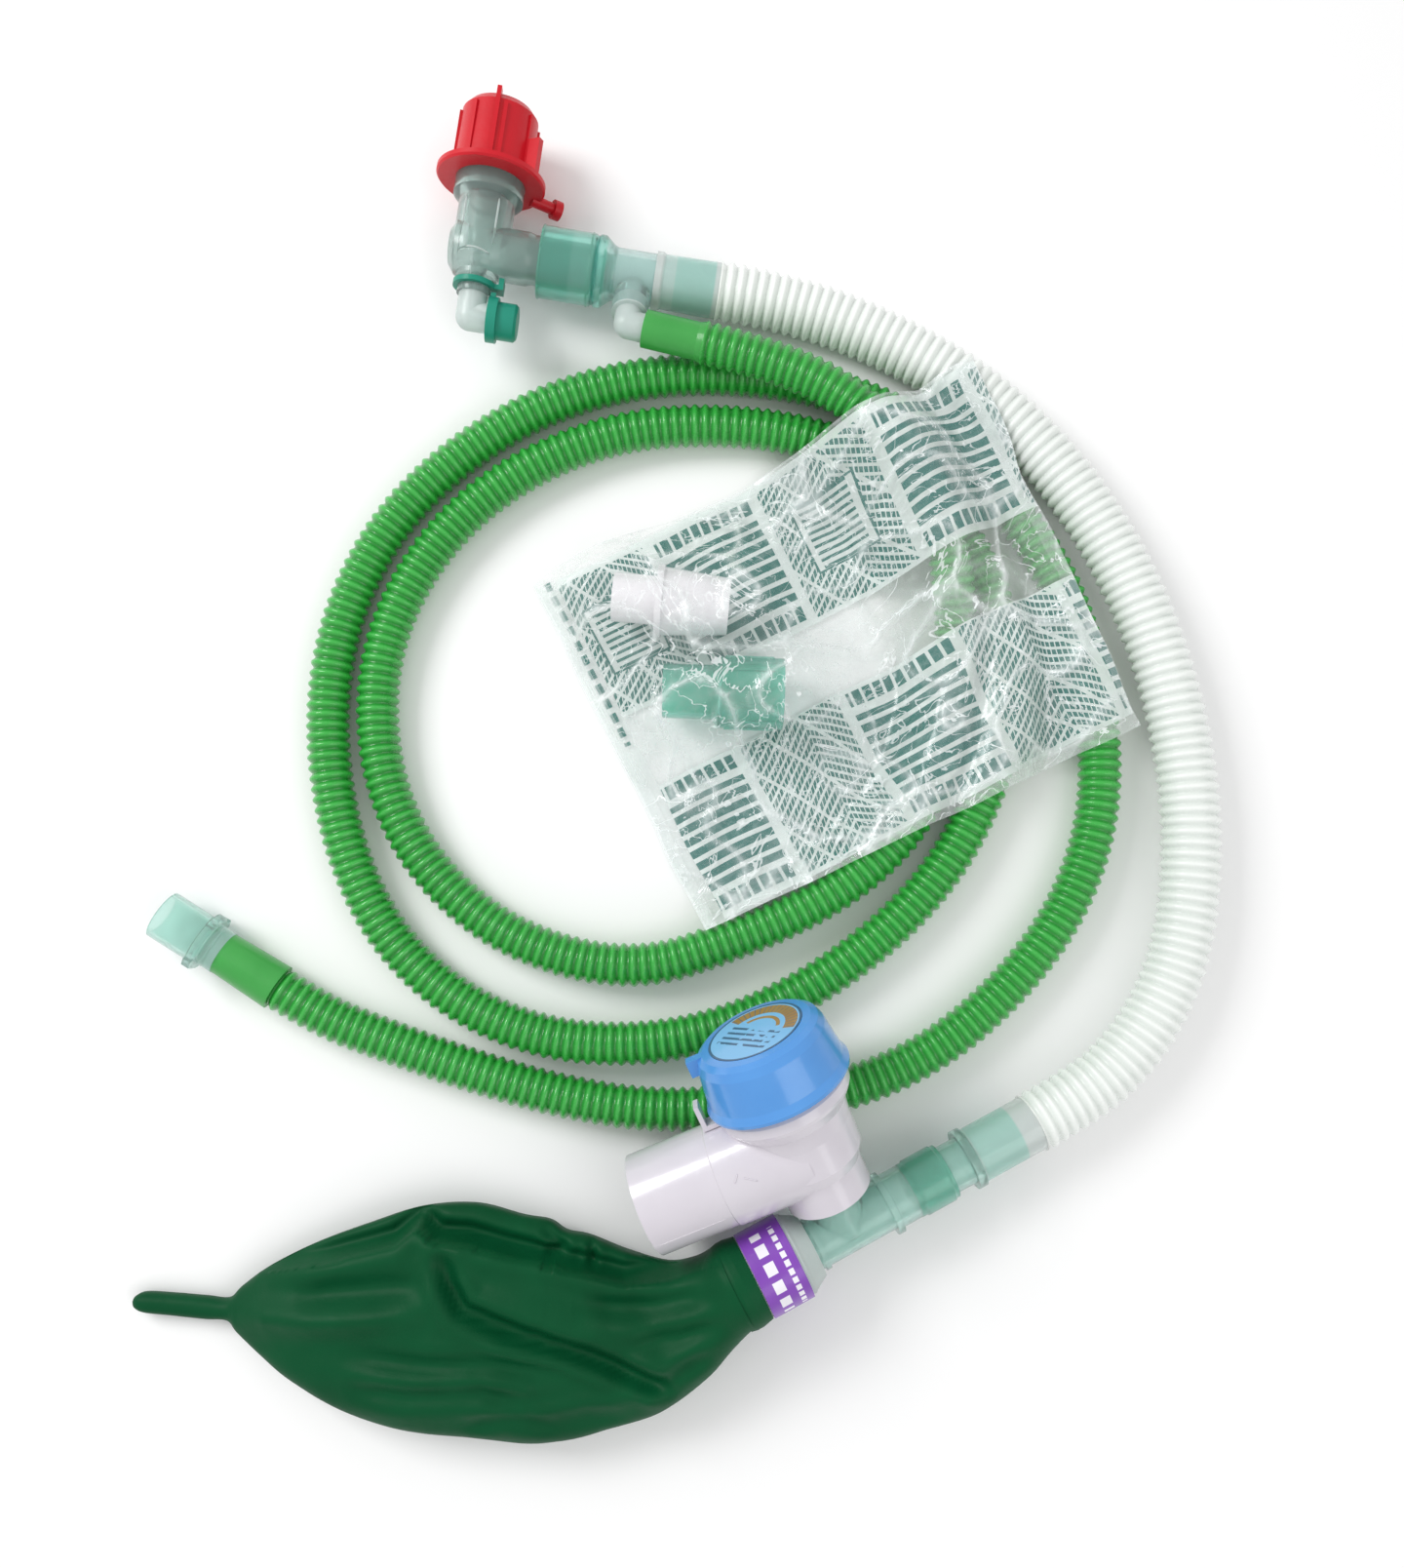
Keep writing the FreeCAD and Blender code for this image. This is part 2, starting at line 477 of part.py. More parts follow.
def oval(centre, width, depth, axis):
    """A closed oval wire, width across and depth high, standing square to a level axis."""
    major, minor = width / 2, depth / 2
    cross = unit(UP.cross(axis))
    if major >= minor:
        ellipse = Part.Ellipse(centre + cross * major, centre + UP * minor, centre)
    else:
        ellipse = Part.Ellipse(centre + UP * minor, centre - cross * major, centre)
    return Part.Wire(ellipse.toShape())


BAG_LINE_Y = -157.0          # the slack bag lies along this line


def reservoir_bag():
    start = TEE_CENTRE + INLINE * (-NECK_FAR)
    low = -0.4
    stations = (
        (0.10, Vec(0, -2.5, 0), 37, 25, 22),
        (0.28, Vec(0, -1, 0), 58, BAG_DEPTH, 14),
        (0.50, Vec(0, -2, 0), BAG_WIDTH, BAG_DEPTH, 4),
        (0.72, Vec(0, 1, 0), 0.8 * BAG_WIDTH, 0.83 * BAG_DEPTH, 2),
        (0.90, Vec(0, 0, 0), 0.43 * BAG_WIDTH, 0.55 * BAG_DEPTH, 0),
        (1.00, Vec(0, 0, 0), 9.5, 8, 0))
    wires = []
    heading = Vec(-1, -0.02, 0)
    neck = Part.Wire(Part.makeCircle(NECK_OUTER - 0.6, start, INLINE))
    for share, shift, width, depth, turn in stations:
        centre = start + unit(heading) * (BAG_LENGTH * share) + shift
        centre.y = BAG_LINE_Y + (start.y - BAG_LINE_Y) * max(0.0, 1 - share / 0.35) ** 2 + shift.y
        centre.z = low + depth / 2
        axis = Vec(-math.cos(math.radians(turn)), -math.sin(math.radians(turn)), 0)
        wires.append(oval(centre, width, depth, axis))
        last = centre
    body = Part.makeLoft([neck] + wires, True, False)
    tail_axis = Vec(-1, 0.02, 0)
    tail = placed(rod(4, -1, TAIL_LENGTH - 4), last, tail_axis, UP)
    tip = Part.makeSphere(4, last + unit(tail_axis) * (TAIL_LENGTH - 4))
    above = Part.makeBox(400, 400, 100, Vec(-300, -350, 0))
    save("reservoir_bag", body.fuse(tail).fuse(tip).removeSplitter().common(above))



# ---- adjustable pressure limiting valve, drawn along its own axis ---------------------------------
PORT_OUTER = 12.8
OUTLET_AT = 31.0
OUTLET_ROOT = 26.0           # where the exhaust cone begins, from the valve's axis
WEB_LOW = 27.6
SEAT_HOLE = 5.5
CHAMBER = 13.6
BOWL_RADIUS = 19.6
BOWL_TOP = 50.0
BONNET_LOW = 45.5
KNOB_LOW = 51.0
SPINDLE_RADIUS = 4.0
DISC_RADIUS = 8.0
DISC_TRAVEL = 3.0


def valve_body():
    outer = turned((0, PORT_MOUTH), (PORT_OUTER, PORT_MOUTH), (PORT_OUTER, 22), (MALE_30, 26),
                   (MALE_30 + 0.4, 36),
                   (16.2, 41), (19.0, 44.8), (BOWL_RADIUS, 46), (BOWL_RADIUS, BOWL_TOP - 1.2),
                   (BOWL_RADIUS - 1, BOWL_TOP), (0, BOWL_TOP))
    pipe = turned((0, 0), (MALE_30 + 0.4, 0), (MALE_30 + 0.4, OUTLET_ROOT - 0.4), (MALE_30, OUTLET_ROOT),
                  (MALE_30, OUTLET_LENGTH), (0, OUTLET_LENGTH))
    outer = outer.fuse(placed(pipe, Vec(0, 0, OUTLET_AT), Vec(1, 0, 0), UP))
    void = Part.makeCylinder(CHAMBER, OUTLET_LENGTH + 1, Vec(0, 0, OUTLET_AT), Vec(1, 0, 0))
    void = void.cut(rod(PORT_OUTER, 0, WEB_LOW + 1.6))
    void = void.fuse(rod(CHAMBER, WEB_LOW + 1.6, BONNET_LOW))
    body = outer.cut(void)
    body = body.cut(rod(MALE_22 + FIT, 0, WEB_LOW))
    body = body.cut(rod(SEAT_HOLE, WEB_LOW - 1, 40))
    body = body.cut(rod(BOWL_RADIUS - 2.4, BONNET_LOW, BOWL_TOP + 1))
    save("valve_body", on_branch(body.removeSplitter()))
    frame = on_branch(Part.makeSphere(1, Vec(0, 0, 0))).Placement
    tip = frame.multVec(Vec(OUTLET_LENGTH, 0, OUTLET_AT))
    print("MOUNT outlet tip", tip, "axis", frame.Rotation.multVec(Vec(1, 0, 0)))
    print("AXIS valve", VALVE_AXIS, "centre", TEE_CENTRE, "port mouth", frame.multVec(Vec(0, 0, PORT_MOUTH)))
    print("BOTTOM knob side", frame.Rotation.multVec(Vec(0, 1, 0)))


def valve_inside():
    web = WEB_LOW + 1.6
    save("valve_seat", on_branch(turned((SEAT_HOLE, web), (DISC_RADIUS + 1, web), (DISC_RADIUS + 1, web + 1),
                                        (SEAT_HOLE + 1, web + 2), (SEAT_HOLE, web + 2))))
    disc_low = web + 2.05
    spring_low = disc_low + 1.25
    collar = spring_low + 9.6
    stem = collar - SPINDLE_TRAVEL - DISC_TRAVEL - GAP
    disc = turned((0, disc_low), (DISC_RADIUS, disc_low), (DISC_RADIUS, disc_low + 1.2),
                  (2.4, disc_low + 1.2),
                  (2.4, stem), (0, stem))
    save("valve_disc", on_branch(disc))
    rise = collar - 0.4 - spring_low
    helix = Part.makeHelix(rise / 4.0, rise - 0.7, 5.0)
    helix.translate(Vec(0, 0, spring_low + 0.35))
    ring = Part.Wire(Part.makeCircle(0.33, Vec(5.0, 0, spring_low + 0.35), Vec(0, 1, 0)))
    coil = Part.Wire(helix.Edges).makePipeShell([ring], True, True)
    save("valve_spring", on_branch(coil))
    bonnet = turned((SPINDLE_RADIUS + FIT, BONNET_LOW), (BOWL_RADIUS - 2.4, BONNET_LOW),
                    (BOWL_RADIUS - 2.4, BOWL_TOP - 0.6),
                    (8.0, BOWL_TOP - 0.6), (8.0, BOWL_TOP + 2.6), (SPINDLE_RADIUS + FIT, BOWL_TOP + 2.6))
    save("valve_bonnet", on_branch(bonnet))
    top = KNOB_LOW + KNOB_HEIGHT - 8.5
    spindle = turned((0, collar), (6.4, collar), (6.4, collar + 1.6), (SPINDLE_RADIUS, collar + 1.6),
                     (SPINDLE_RADIUS, top),
                     (0, top))
    save("valve_spindle", on_branch(spindle))
    print("COUPLING metres for each radian", SPINDLE_TRAVEL / 1000 / math.radians(KNOB_TURN))


def valve_knob():
    top = KNOB_LOW + KNOB_HEIGHT
    r = KNOB_RADIUS
    outer = turned((0, KNOB_LOW), (r, KNOB_LOW), (r + 0.2, KNOB_LOW + 1), (r - 0.8, KNOB_LOW + 3.2),
                   (r - 2.2, top - 4),
                   (r - 3.2, top - 1.6), (r - 5, top - 0.5), (r - 8, top), (0, top))
    cavity = tube(r - 4.2, 6.6, KNOB_LOW - 1, top - 2.2).fuse(rod(8.0 + GAP, KNOB_LOW - 1,
                  BOWL_TOP + 2.6 + GAP))
    body = outer.cut(cavity)
    body = body.cut(rod(SPINDLE_RADIUS + FIT, KNOB_LOW - 1, top - 2.2))
    pointer = Part.makeBox(7.5, 3.2, 5, Vec(r - 7.6, -1.6, top - 5.5))
    pointer = pointer.common(rod(r + 0.1, KNOB_LOW, top + 5))
    body = body.fuse(pointer).removeSplitter()
    body = body.cut(rod(14.3, top - 0.3, top + 1))
    save("valve_knob", on_branch(body))
    save("knob_label", on_branch(rod(14.2, top - 0.3, top - 0.02)))


CLIP_CLEAR = 2.0            # from the knob's skirt to the hook
CLIP_WALL = 1.4
CLIP_WIDE = 5.0
CLIP_HEIGHT = 8.0
CLIP_FOOT = 46.6


def outlet_clip():
    """A small springy hook that stands on the outlet beside the knob."""
    reach = KNOB_RADIUS + CLIP_CLEAR
    leg = Part.makeBox(CLIP_WALL, CLIP_WIDE, CLIP_HEIGHT, Vec(reach, -CLIP_WIDE / 2, CLIP_FOOT))
    foot = Part.makeBox(reach + 0.1 - BOWL_RADIUS + 2, CLIP_WIDE, CLIP_WALL,
                        Vec(BOWL_RADIUS - 2, -CLIP_WIDE / 2, CLIP_FOOT))
    shape = leg.fuse(foot).cut(rod(BOWL_RADIUS, 40, 60))
    save("outlet_clip", on_branch(shape.removeSplitter()))


# ---- accessory pouch with two adapters ------------------------------------------------------------
pouch_turn = math.radians(POUCH_ANGLE)
POUCH_U = Vec(math.cos(pouch_turn), math.sin(pouch_turn), 0)
POUCH_V = Vec(-math.sin(pouch_turn), math.cos(pouch_turn), 0)
WHITE_ADAPTER = (Vec(-27.5, 57, 13.2), unit(Vec(1, -0.09, 0)), 36.0, 11.4)   # start, axis, length, radius
TEAL_ADAPTER = (Vec(-12, 27.5, 13.2), unit(Vec(1, -0.03, 0)), 37.0, 11.5)


def pouch_floor(u, v):
    """Height of the pouch's underside over the hoses that it lies on."""
    point = POUCH_CENTRE + POUCH_U * u + POUCH_V * v
    height = 1.0
    for route, radius in ((GAS_ROUTE, HOSE_OD / 2), (BREATHING_ROUTE, BREATHING_OD / 2)):
        for a, b in zip(route, route[1:]):
            run = b - a
            flat = Vec(run.x, run.y, 0)
            share = max(0.0, min(1.0, (point - Vec(a.x, a.y, 0)).dot(flat) / flat.dot(flat)))
            near = a + run * share
            away = math.hypot(point.x - near.x, point.y - near.y)
            top = near.z + radius + 2.6
            height = max(height, top - 1.1 * max(0.0, away - radius - 4))
    return height


def pouch_cover(u, v):
    """Height of the upper film: just above the lower one, and over the two adapters."""
    point = POUCH_CENTRE + POUCH_U * u + POUCH_V * v
    height = pouch_floor(u, v) + FILM + 0.2
    for start, axis, length, radius in (WHITE_ADAPTER, TEAL_ADAPTER):
        flat = Vec(start.x, start.y, 0)
        share = max(0.0, min(length, (point - flat).dot(axis)))
        away = (point - flat - axis * share).Length
        height = max(height, start.z + radius + 1.5 - 1.2 * max(0.0, away - radius + 1))
    return height


def film(name, bottom):
    """A thin draped film: two faceted skins FILM apart with closed edges."""
    columns, rows = 14, 11
    grid = {}
    for i in range(columns + 1):
        for j in range(rows + 1):
            u = POUCH_LENGTH * (i / columns - 0.5)
            v = POUCH_WIDTH * (j / rows - 0.5)
            base = POUCH_CENTRE + POUCH_U * u + POUCH_V * v
            z = bottom(u, v)
            grid[i, j, 0] = Vec(base.x, base.y, z)
            grid[i, j, 1] = Vec(base.x, base.y, z + FILM)
    faces = []

    def flat(*corners):
        faces.append(Part.Face(Part.makePolygon(list(corners) + [corners[0]])))
    for i in range(columns):
        for j in range(rows):
            for layer in (0, 1):
                a, b = grid[i, j, layer], grid[i + 1, j, layer]
                c, d = grid[i + 1, j + 1, layer], grid[i, j + 1, layer]
                flat(a, b, c)
                flat(a, c, d)
    for i in range(columns):
        for j in (0, rows):
            flat(grid[i, j, 0], grid[i + 1, j, 0], grid[i + 1, j, 1], grid[i, j, 1])
    for j in range(rows):
        for i in (0, columns):
            flat(grid[i, j, 0], grid[i, j + 1, 0], grid[i, j + 1, 1], grid[i, j, 1])
    solid = Part.Solid(Part.Shell(faces))
    if solid.Volume < 0:
        solid.reverse()
    save(name, solid)


def pouch():
    film("pouch_lower_film", pouch_floor)
    film("pouch_upper_film", pouch_cover)


def white_adapter():
    start, axis, length, radius = WHITE_ADAPTER
    body = turned((6.0, 0), (MALE_15, 0), (MALE_15, 13.5), (radius, 13.5), (radius, 15.5), (10.6, 15.5),
                  (8.8, length),
                  (6.6, length), (6.6, 15), (6.0, 14))
    save("white_adapter", placed(body, start, axis, UP))


def teal_adapter():
    start, axis, length, radius = TEAL_ADAPTER
    body = turned((6.8, 0), (8.4, 0), (8.4, 15), (radius - 0.5, 17), (radius - 0.5, length),
                  (9.2, length), (9.2, 18), (6.8, 16))
    rib = Part.makeBox(1, 0.8, 15, Vec(-0.5, radius - 0.8, 19))
    for turn in range(0, 360, 30):
        bar = rib.copy()
        bar.rotate(Vec(0, 0, 0), UP, turn)
        body = body.fuse(bar)
    save("teal_adapter", placed(body.removeSplitter(), start, axis, UP))


fresh_gas_hose()
inlet_cuff()
machine_end()
patient_tee()
gas_inlet_nipple()
patient_elbow()
sampling_nipple()
port_cap()
dust_cap()
breathing_hose()
straight_connector()
bag_tee()
bag_neck()
reservoir_bag()
valve_body()
valve_inside()
valve_knob()
outlet_clip()
pouch()
white_adapter()
teal_adapter()
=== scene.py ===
import json
import math
import bpy
import numpy as np
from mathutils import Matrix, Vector, noise


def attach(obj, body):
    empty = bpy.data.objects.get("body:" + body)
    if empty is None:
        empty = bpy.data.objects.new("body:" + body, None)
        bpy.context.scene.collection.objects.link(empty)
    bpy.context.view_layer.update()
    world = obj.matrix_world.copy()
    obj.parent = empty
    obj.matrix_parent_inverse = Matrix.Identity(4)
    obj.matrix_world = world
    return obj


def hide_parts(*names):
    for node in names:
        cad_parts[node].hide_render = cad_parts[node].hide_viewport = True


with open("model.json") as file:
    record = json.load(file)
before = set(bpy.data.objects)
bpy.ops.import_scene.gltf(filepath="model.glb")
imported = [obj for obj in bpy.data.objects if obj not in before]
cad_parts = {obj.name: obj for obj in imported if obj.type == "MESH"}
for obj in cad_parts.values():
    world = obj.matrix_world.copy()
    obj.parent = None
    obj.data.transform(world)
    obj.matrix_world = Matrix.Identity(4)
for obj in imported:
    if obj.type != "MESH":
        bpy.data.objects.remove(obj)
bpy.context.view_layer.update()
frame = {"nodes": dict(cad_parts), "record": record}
nodes = frame["nodes"]
layoutShift = np.array((0.0192, -0.0123, 0.0))
print("stage: frame loaded,", len(nodes), "CAD pieces")


# a socket of a material's tree, so that shader maths reads as plain expressions
class Sock:
    def __init__(self, tree, socket=None):
        self.tree = tree
        self.socket = socket

    def node(self, kind, settings, inputs, output=0):
        made = self.tree.nodes.new(kind)
        for name, value in settings.items():
            setattr(made, name, value)
        for key, value in inputs.items():
            if isinstance(value, Sock):
                self.tree.links.new(value.socket, made.inputs[key])
            else:
                made.inputs[key].default_value = value
        return Sock(self.tree, made.outputs[output])

    def math(self, operation, first, second=0.0):
        return self.node("ShaderNodeMath", {"operation": operation}, {0: first, 1: second})

    def __add__(self, other):
        return self.math("ADD", self, other)

    def __radd__(self, other):
        return self.math("ADD", other, self)

    def __sub__(self, other):
        return self.math("SUBTRACT", self, other)

    def __rsub__(self, other):
        return self.math("SUBTRACT", other, self)

    def __mul__(self, other):
        return self.math("MULTIPLY", self, other)

    def __rmul__(self, other):
        return self.math("MULTIPLY", other, self)

    def __truediv__(self, other):
        return self.math("DIVIDE", self, other)

    def __lt__(self, other):
        return self.math("LESS_THAN", self, other)

    def __gt__(self, other):
        return self.math("GREATER_THAN", self, other)

    def fract(self):
        return self.math("FRACT", self)

    def floor(self):
        return self.math("FLOOR", self)

    def larger(self, other):
        return self.math("MAXIMUM", self, other)

    def smaller(self, other):
        return self.math("MINIMUM", self, other)


def between(value, low, high):  # 1 inside, 0 outside
    return (value > low) * (value < high)


def newMaterial(name, finish):
    made = bpy.data.materials.new(name)
    made.use_nodes = True
    shader = made.node_tree.nodes["Principled BSDF"]
    for socketName, value in finish.items():
        shader.inputs[socketName].default_value = value
    return made, Sock(made.node_tree), shader


def feed(value, shader, socketName):
    value.tree.links.new(value.socket, shader.inputs[socketName])


def place(paint):  # metres in the piece's own frame
    return paint.node("ShaderNodeTexCoord", {}, {}, "Object")


def clouds(paint, where, scale, detail=3.0, distortion=0.0):
    return paint.node("ShaderNodeTexNoise", {}, {"Vector": where, "Scale": scale, "Detail": detail,
                                                 "Distortion": distortion}, "Fac")


def blendColours(paint, share, low, high):
    return paint.node("ShaderNodeMix", {"data_type": "RGBA"}, {0: share, 6: low, 7: high}, 2)


def along(paint, where, origin, axis):  # distance of a point from origin along an axis
    offset = paint.node("ShaderNodeVectorMath", {"operation": "SUBTRACT"}, {0: where, 1: tuple(origin)})
    dot = {"operation": "DOT_PRODUCT"}
    return paint.node("ShaderNodeVectorMath", dot, {0: offset, 1: tuple(axis)}, "Value")


def roughen(paint, shader, height, strength, distance):
    bump = paint.node("ShaderNodeBump", {}, {"Height": height, "Strength": strength, "Distance": distance})
    feed(bump, shader, "Normal")


def moulded(name, low, high, finish, grain):
    made, paint, shader = newMaterial(name, finish)
    where = place(paint)
    mottle = clouds(paint, where, grain["mottle"], 4.0)
    feed(blendColours(paint, mottle, (*low, 1), (*high, 1)), shader, "Base Color")
    speck = clouds(paint, where, grain["speck"], 2.0)
    feed(grain["rough"] + grain["roughSpread"] * speck, shader, "Roughness")
    flow = clouds(paint, where, grain["flow"], 2.0, 1.5)
    roughen(paint, shader, speck * 0.35 + flow, grain["bump"], grain["depth"])
    return made


def dress(material, *names):
    for name in names:
        for slot in nodes[name].material_slots:
            slot.material = material


# finishes of the moulded pieces
smoothGrain = {"mottle": 60, "speck": 900, "flow": 160, "rough": 0.16, "roughSpread": 0.12,
               "bump": 0.12, "depth": 0.0004}
satinGrain = {"mottle": 60, "speck": 1400, "flow": 200, "rough": 0.34, "roughSpread": 0.18,
              "bump": 0.2, "depth": 0.0004}
clearFinish = {"Transmission Weight": 0.82, "IOR": 1.4, "Coat Weight": 0.25, "Coat Roughness": 0.08}
milkyFinish = {"Transmission Weight": 0.5, "IOR": 1.4, "Coat Weight": 0.2, "Coat Roughness": 0.12}
softGloss = {"IOR": 1.46, "Specular IOR Level": 0.35, "Coat Weight": 0.15, "Coat Roughness": 0.1}

tealClear = moulded("tealClear", (0.62, 0.90, 0.82), (0.74, 0.95, 0.90), clearFinish, smoothGrain)
tealSocket = moulded("tealSocket", (0.28, 0.76, 0.62), (0.40, 0.86, 0.74), clearFinish, smoothGrain)
tealDeep = moulded("tealDeep", (0.36, 0.80, 0.66), (0.46, 0.86, 0.74), clearFinish, smoothGrain)
greyClear = moulded("greyClear", (0.50, 0.65, 0.61), (0.60, 0.74, 0.70), clearFinish, smoothGrain)
milky = moulded("milky", (0.74, 0.86, 0.83), (0.88, 0.94, 0.92), milkyFinish, satinGrain)
cuffFinish = {"Transmission Weight": 0.25, "IOR": 1.45, "Coat Weight": 0.3, "Coat Roughness": 0.12}
gasCuffGreen = moulded("gasCuffGreen", (0.03, 0.36, 0.05), (0.08, 0.50, 0.10), cuffFinish, satinGrain)
capRed = moulded("capRed", (0.50, 0.002, 0.010), (0.64, 0.006, 0.018), softGloss, satinGrain)
capGreen = moulded("capGreen", (0.006, 0.20, 0.13), (0.015, 0.30, 0.21), softGloss, satinGrain)
valveWhite = moulded("valveWhite", (0.62, 0.58, 0.64), (0.71, 0.68, 0.73),
                      {"IOR": 1.5, "Coat Weight": 0.4, "Coat Roughness": 0.06}, smoothGrain)
knobFinish = {"IOR": 1.5, "Coat Weight": 0.4, "Coat Roughness": 0.08}
knobBlue = moulded("knobBlue", (0.06, 0.25, 0.64), (0.10, 0.34, 0.76), knobFinish, smoothGrain)
adapterWhite = moulded("adapterWhite", (0.78, 0.76, 0.79), (0.88, 0.86, 0.88), softGloss, smoothGrain)
springSteel = moulded("springSteel", (0.42, 0.43, 0.45), (0.62, 0.63, 0.65), {"Metallic": 1.0}, smoothGrain)

dress(tealClear, "machine_connector", "straight_connector", "bag_tee")
dress(tealSocket, "teal_adapter")
dress(tealDeep, "connector_sleeve")
dress(greyClear, "patient_elbow")
dress(milky, "gas_inlet_nipple", "sampling_nipple", "bag_bush", "valve_seat", "valve_disc")
dress(gasCuffGreen, "fresh_gas_cuff_patient", "fresh_gas_cuff_machine")
dress(capRed, "red_dust_cap")
dress(capGreen, "port_cap", "port_cap_strap")
dress(valveWhite, "valve_body", "valve_bonnet", "outlet_clip", "valve_spindle")
dress(knobBlue, "valve_knob")
dress(adapterWhite, "white_adapter")
dress(springSteel, "valve_spring")
print("stage: moulded pieces dressed")


# axes of the valve, tee and port, used by the tints, the printed label and the mould marks
joints = {joint["name"]: joint for joint in frame["record"]["behaviour"]["joints"]}
mounts = {mount["name"]: mount for mount in frame["record"]["mounts"]}
teeCentre = Vector(joints["valve_swivel"]["pos_m"])
valveAxis = Vector(joints["valve_swivel"]["axis"])
outletAxis = Vector(mounts["exhaust_outlet"]["axis"])
teeMouth = Vector(joints["elbow_swivel"]["pos_m"])
teeAxis = Vector(joints["elbow_swivel"]["axis"])
portAxis = Vector(joints["dust_cap_pull"]["axis"])


def tintedAlong(name, origin, axis, bands, finish):  # a clear moulding whose tint changes along its length
    made, paint, shader = newMaterial(name, finish)
    where = place(paint)
    run = along(paint, where, origin, axis) * 1000
    colour = bands[0][1]
    for start, tint in bands[1:]:
        step = ((run - start) * 1.5).larger(0.0).smaller(1.0)
        low = colour if isinstance(colour, Sock) else (*colour, 1)
        colour = blendColours(paint, step, low, (*tint, 1))
    streak = 0.94 + clouds(paint, where, 130, 4.0, 1.0) * 0.1
    shade = paint.node("ShaderNodeCombineColor", {}, {"Red": streak, "Green": streak, "Blue": streak})
    colour = paint.node("ShaderNodeMix", {"data_type": "RGBA", "blend_type": "MULTIPLY"},
                        {0: 1.0, 6: colour, 7: shade}, 2)
    feed(colour, shader, "Base Color")
    feed(0.14 + clouds(paint, where, 800) * 0.12, shader, "Roughness")
    roughen(paint, shader, clouds(paint, where, 170, 2.0, 1.5), 0.14, 0.0004)
    return made


teeTint = [(0, (0.34, 0.80, 0.68)), (9.5, (0.44, 0.87, 0.76)), (16.6, (0.16, 0.62, 0.52)),
           (18.2, (0.36, 0.82, 0.70)), (20.5, (0.74, 0.93, 0.90)), (38.0, (0.50, 0.85, 0.76))]
dress(tintedAlong("teeTinted", teeMouth, teeAxis, teeTint, clearFinish), "patient_tee")
cuffTint = [(0, (0.88, 0.94, 0.92)), (38.5, (0.72, 0.90, 0.86)), (42.5, (0.56, 0.86, 0.79)),
            (55.0, (0.86, 0.93, 0.91))]
dress(tintedAlong("patientCuffTinted", teeMouth, teeAxis, cuffTint, milkyFinish), "breathing_cuff_patient")


def labelMaterial(spec):
    made, paint, shader = newMaterial("knobLabel", {"Roughness": 0.35, "Coat Weight": 0.4})
    where = place(paint)
    centre = teeCentre + valveAxis * spec["height"]
    across = along(paint, where, centre, spec["right"]) * 1000
    up = along(paint, where, centre, spec["up"]) * 1000
    radius = paint.math("SQRT", across * across + up * up)
    turn = paint.math("ARCTAN2", up, across)
    arc = between(radius, 9.2, 13.0) * between(turn, 0.25, 2.9)
    inner = between(radius, 6.4, 7.6) * between(turn, 0.5, 2.65)
    ticks = between((turn * 7.0).fract(), 0.0, 0.13) * arc
    bars = between(up, -7.6, 1.4) * ((up * 0.42).fract() < 0.42) * between(across, -9.5, 9.5)
    gaps = clouds(paint, where, 520, 0.0) > 0.42
    rim = radius > 13.5
    warm = blendColours(paint, clouds(paint, where, 90), (0.26, 0.13, 0.03, 1), (0.45, 0.26, 0.07, 1))
    colour = blendColours(paint, arc.larger(inner), (0.20, 0.48, 0.80, 1), warm)
    colour = blendColours(paint, (ticks.larger(bars * gaps)).larger(rim), colour, (0.03, 0.10, 0.22, 1))
    feed(colour, shader, "Base Color")
    roughen(paint, shader, clouds(paint, where, 700), 0.1, 0.0002)
    return made


upAcross = (Vector((0, 1, 0)) - valveAxis * valveAxis.y).normalized()
labelSpec = {"height": 0.0685, "up": upAcross, "right": upAcross.cross(valveAxis)}
dress(labelMaterial(labelSpec), "knob_label")

hoseEnd = np.array((0.0988, -0.1032, 0.0115)) + layoutShift
bagLine = Vector(teeCentre - Vector(hoseEnd)).normalized()


def bandMaterial(spec):
    made, paint, shader = newMaterial("purpleBand", {"Roughness": 0.34, "Coat Weight": 0.3})
    where = place(paint)
    run = along(paint, where, teeCentre, bagLine) * 1000
    side = bagLine.cross(Vector((0, 0, 1))).normalized()
    rise = side.cross(bagLine)
    turn = paint.math("ARCTAN2", along(paint, where, teeCentre, side), along(paint, where, teeCentre, rise))
    wide = between(run, spec["wideLow"], spec["wideHigh"]) * (((turn + 3) * 2.3).fract() < 0.66)
    thin = between(run, spec["thinLow"], spec["thinHigh"]) * (((turn + 3) * 4.9).fract() < 0.7)
    facing = between(turn, -1.1, 1.1)
    ink = (wide.larger(thin)) * facing
    tint = blendColours(paint, clouds(paint, where, 120), (0.17, 0.035, 0.38, 1), (0.25, 0.06, 0.50, 1))
    feed(blendColours(paint, ink, tint, (0.86, 0.84, 0.90, 1)), shader, "Base Color")
    roughen(paint, shader, clouds(paint, where, 500), 0.12, 0.0003)
    return made


bandSpec = {"wideLow": 23.8, "wideHigh": 27.0, "thinLow": 19.6, "thinHigh": 21.2}
dress(bandMaterial(bandSpec), "bag_label_band")
bagCuffTint = [(-70, (0.88, 0.94, 0.92)), (-58.0, (0.58, 0.87, 0.79)), (-44.0, (0.70, 0.90, 0.84))]
dress(tintedAlong("bagCuffTinted", teeCentre, bagLine, bagCuffTint, milkyFinish), "breathing_cuff_bag")
print("stage: label and band printed")


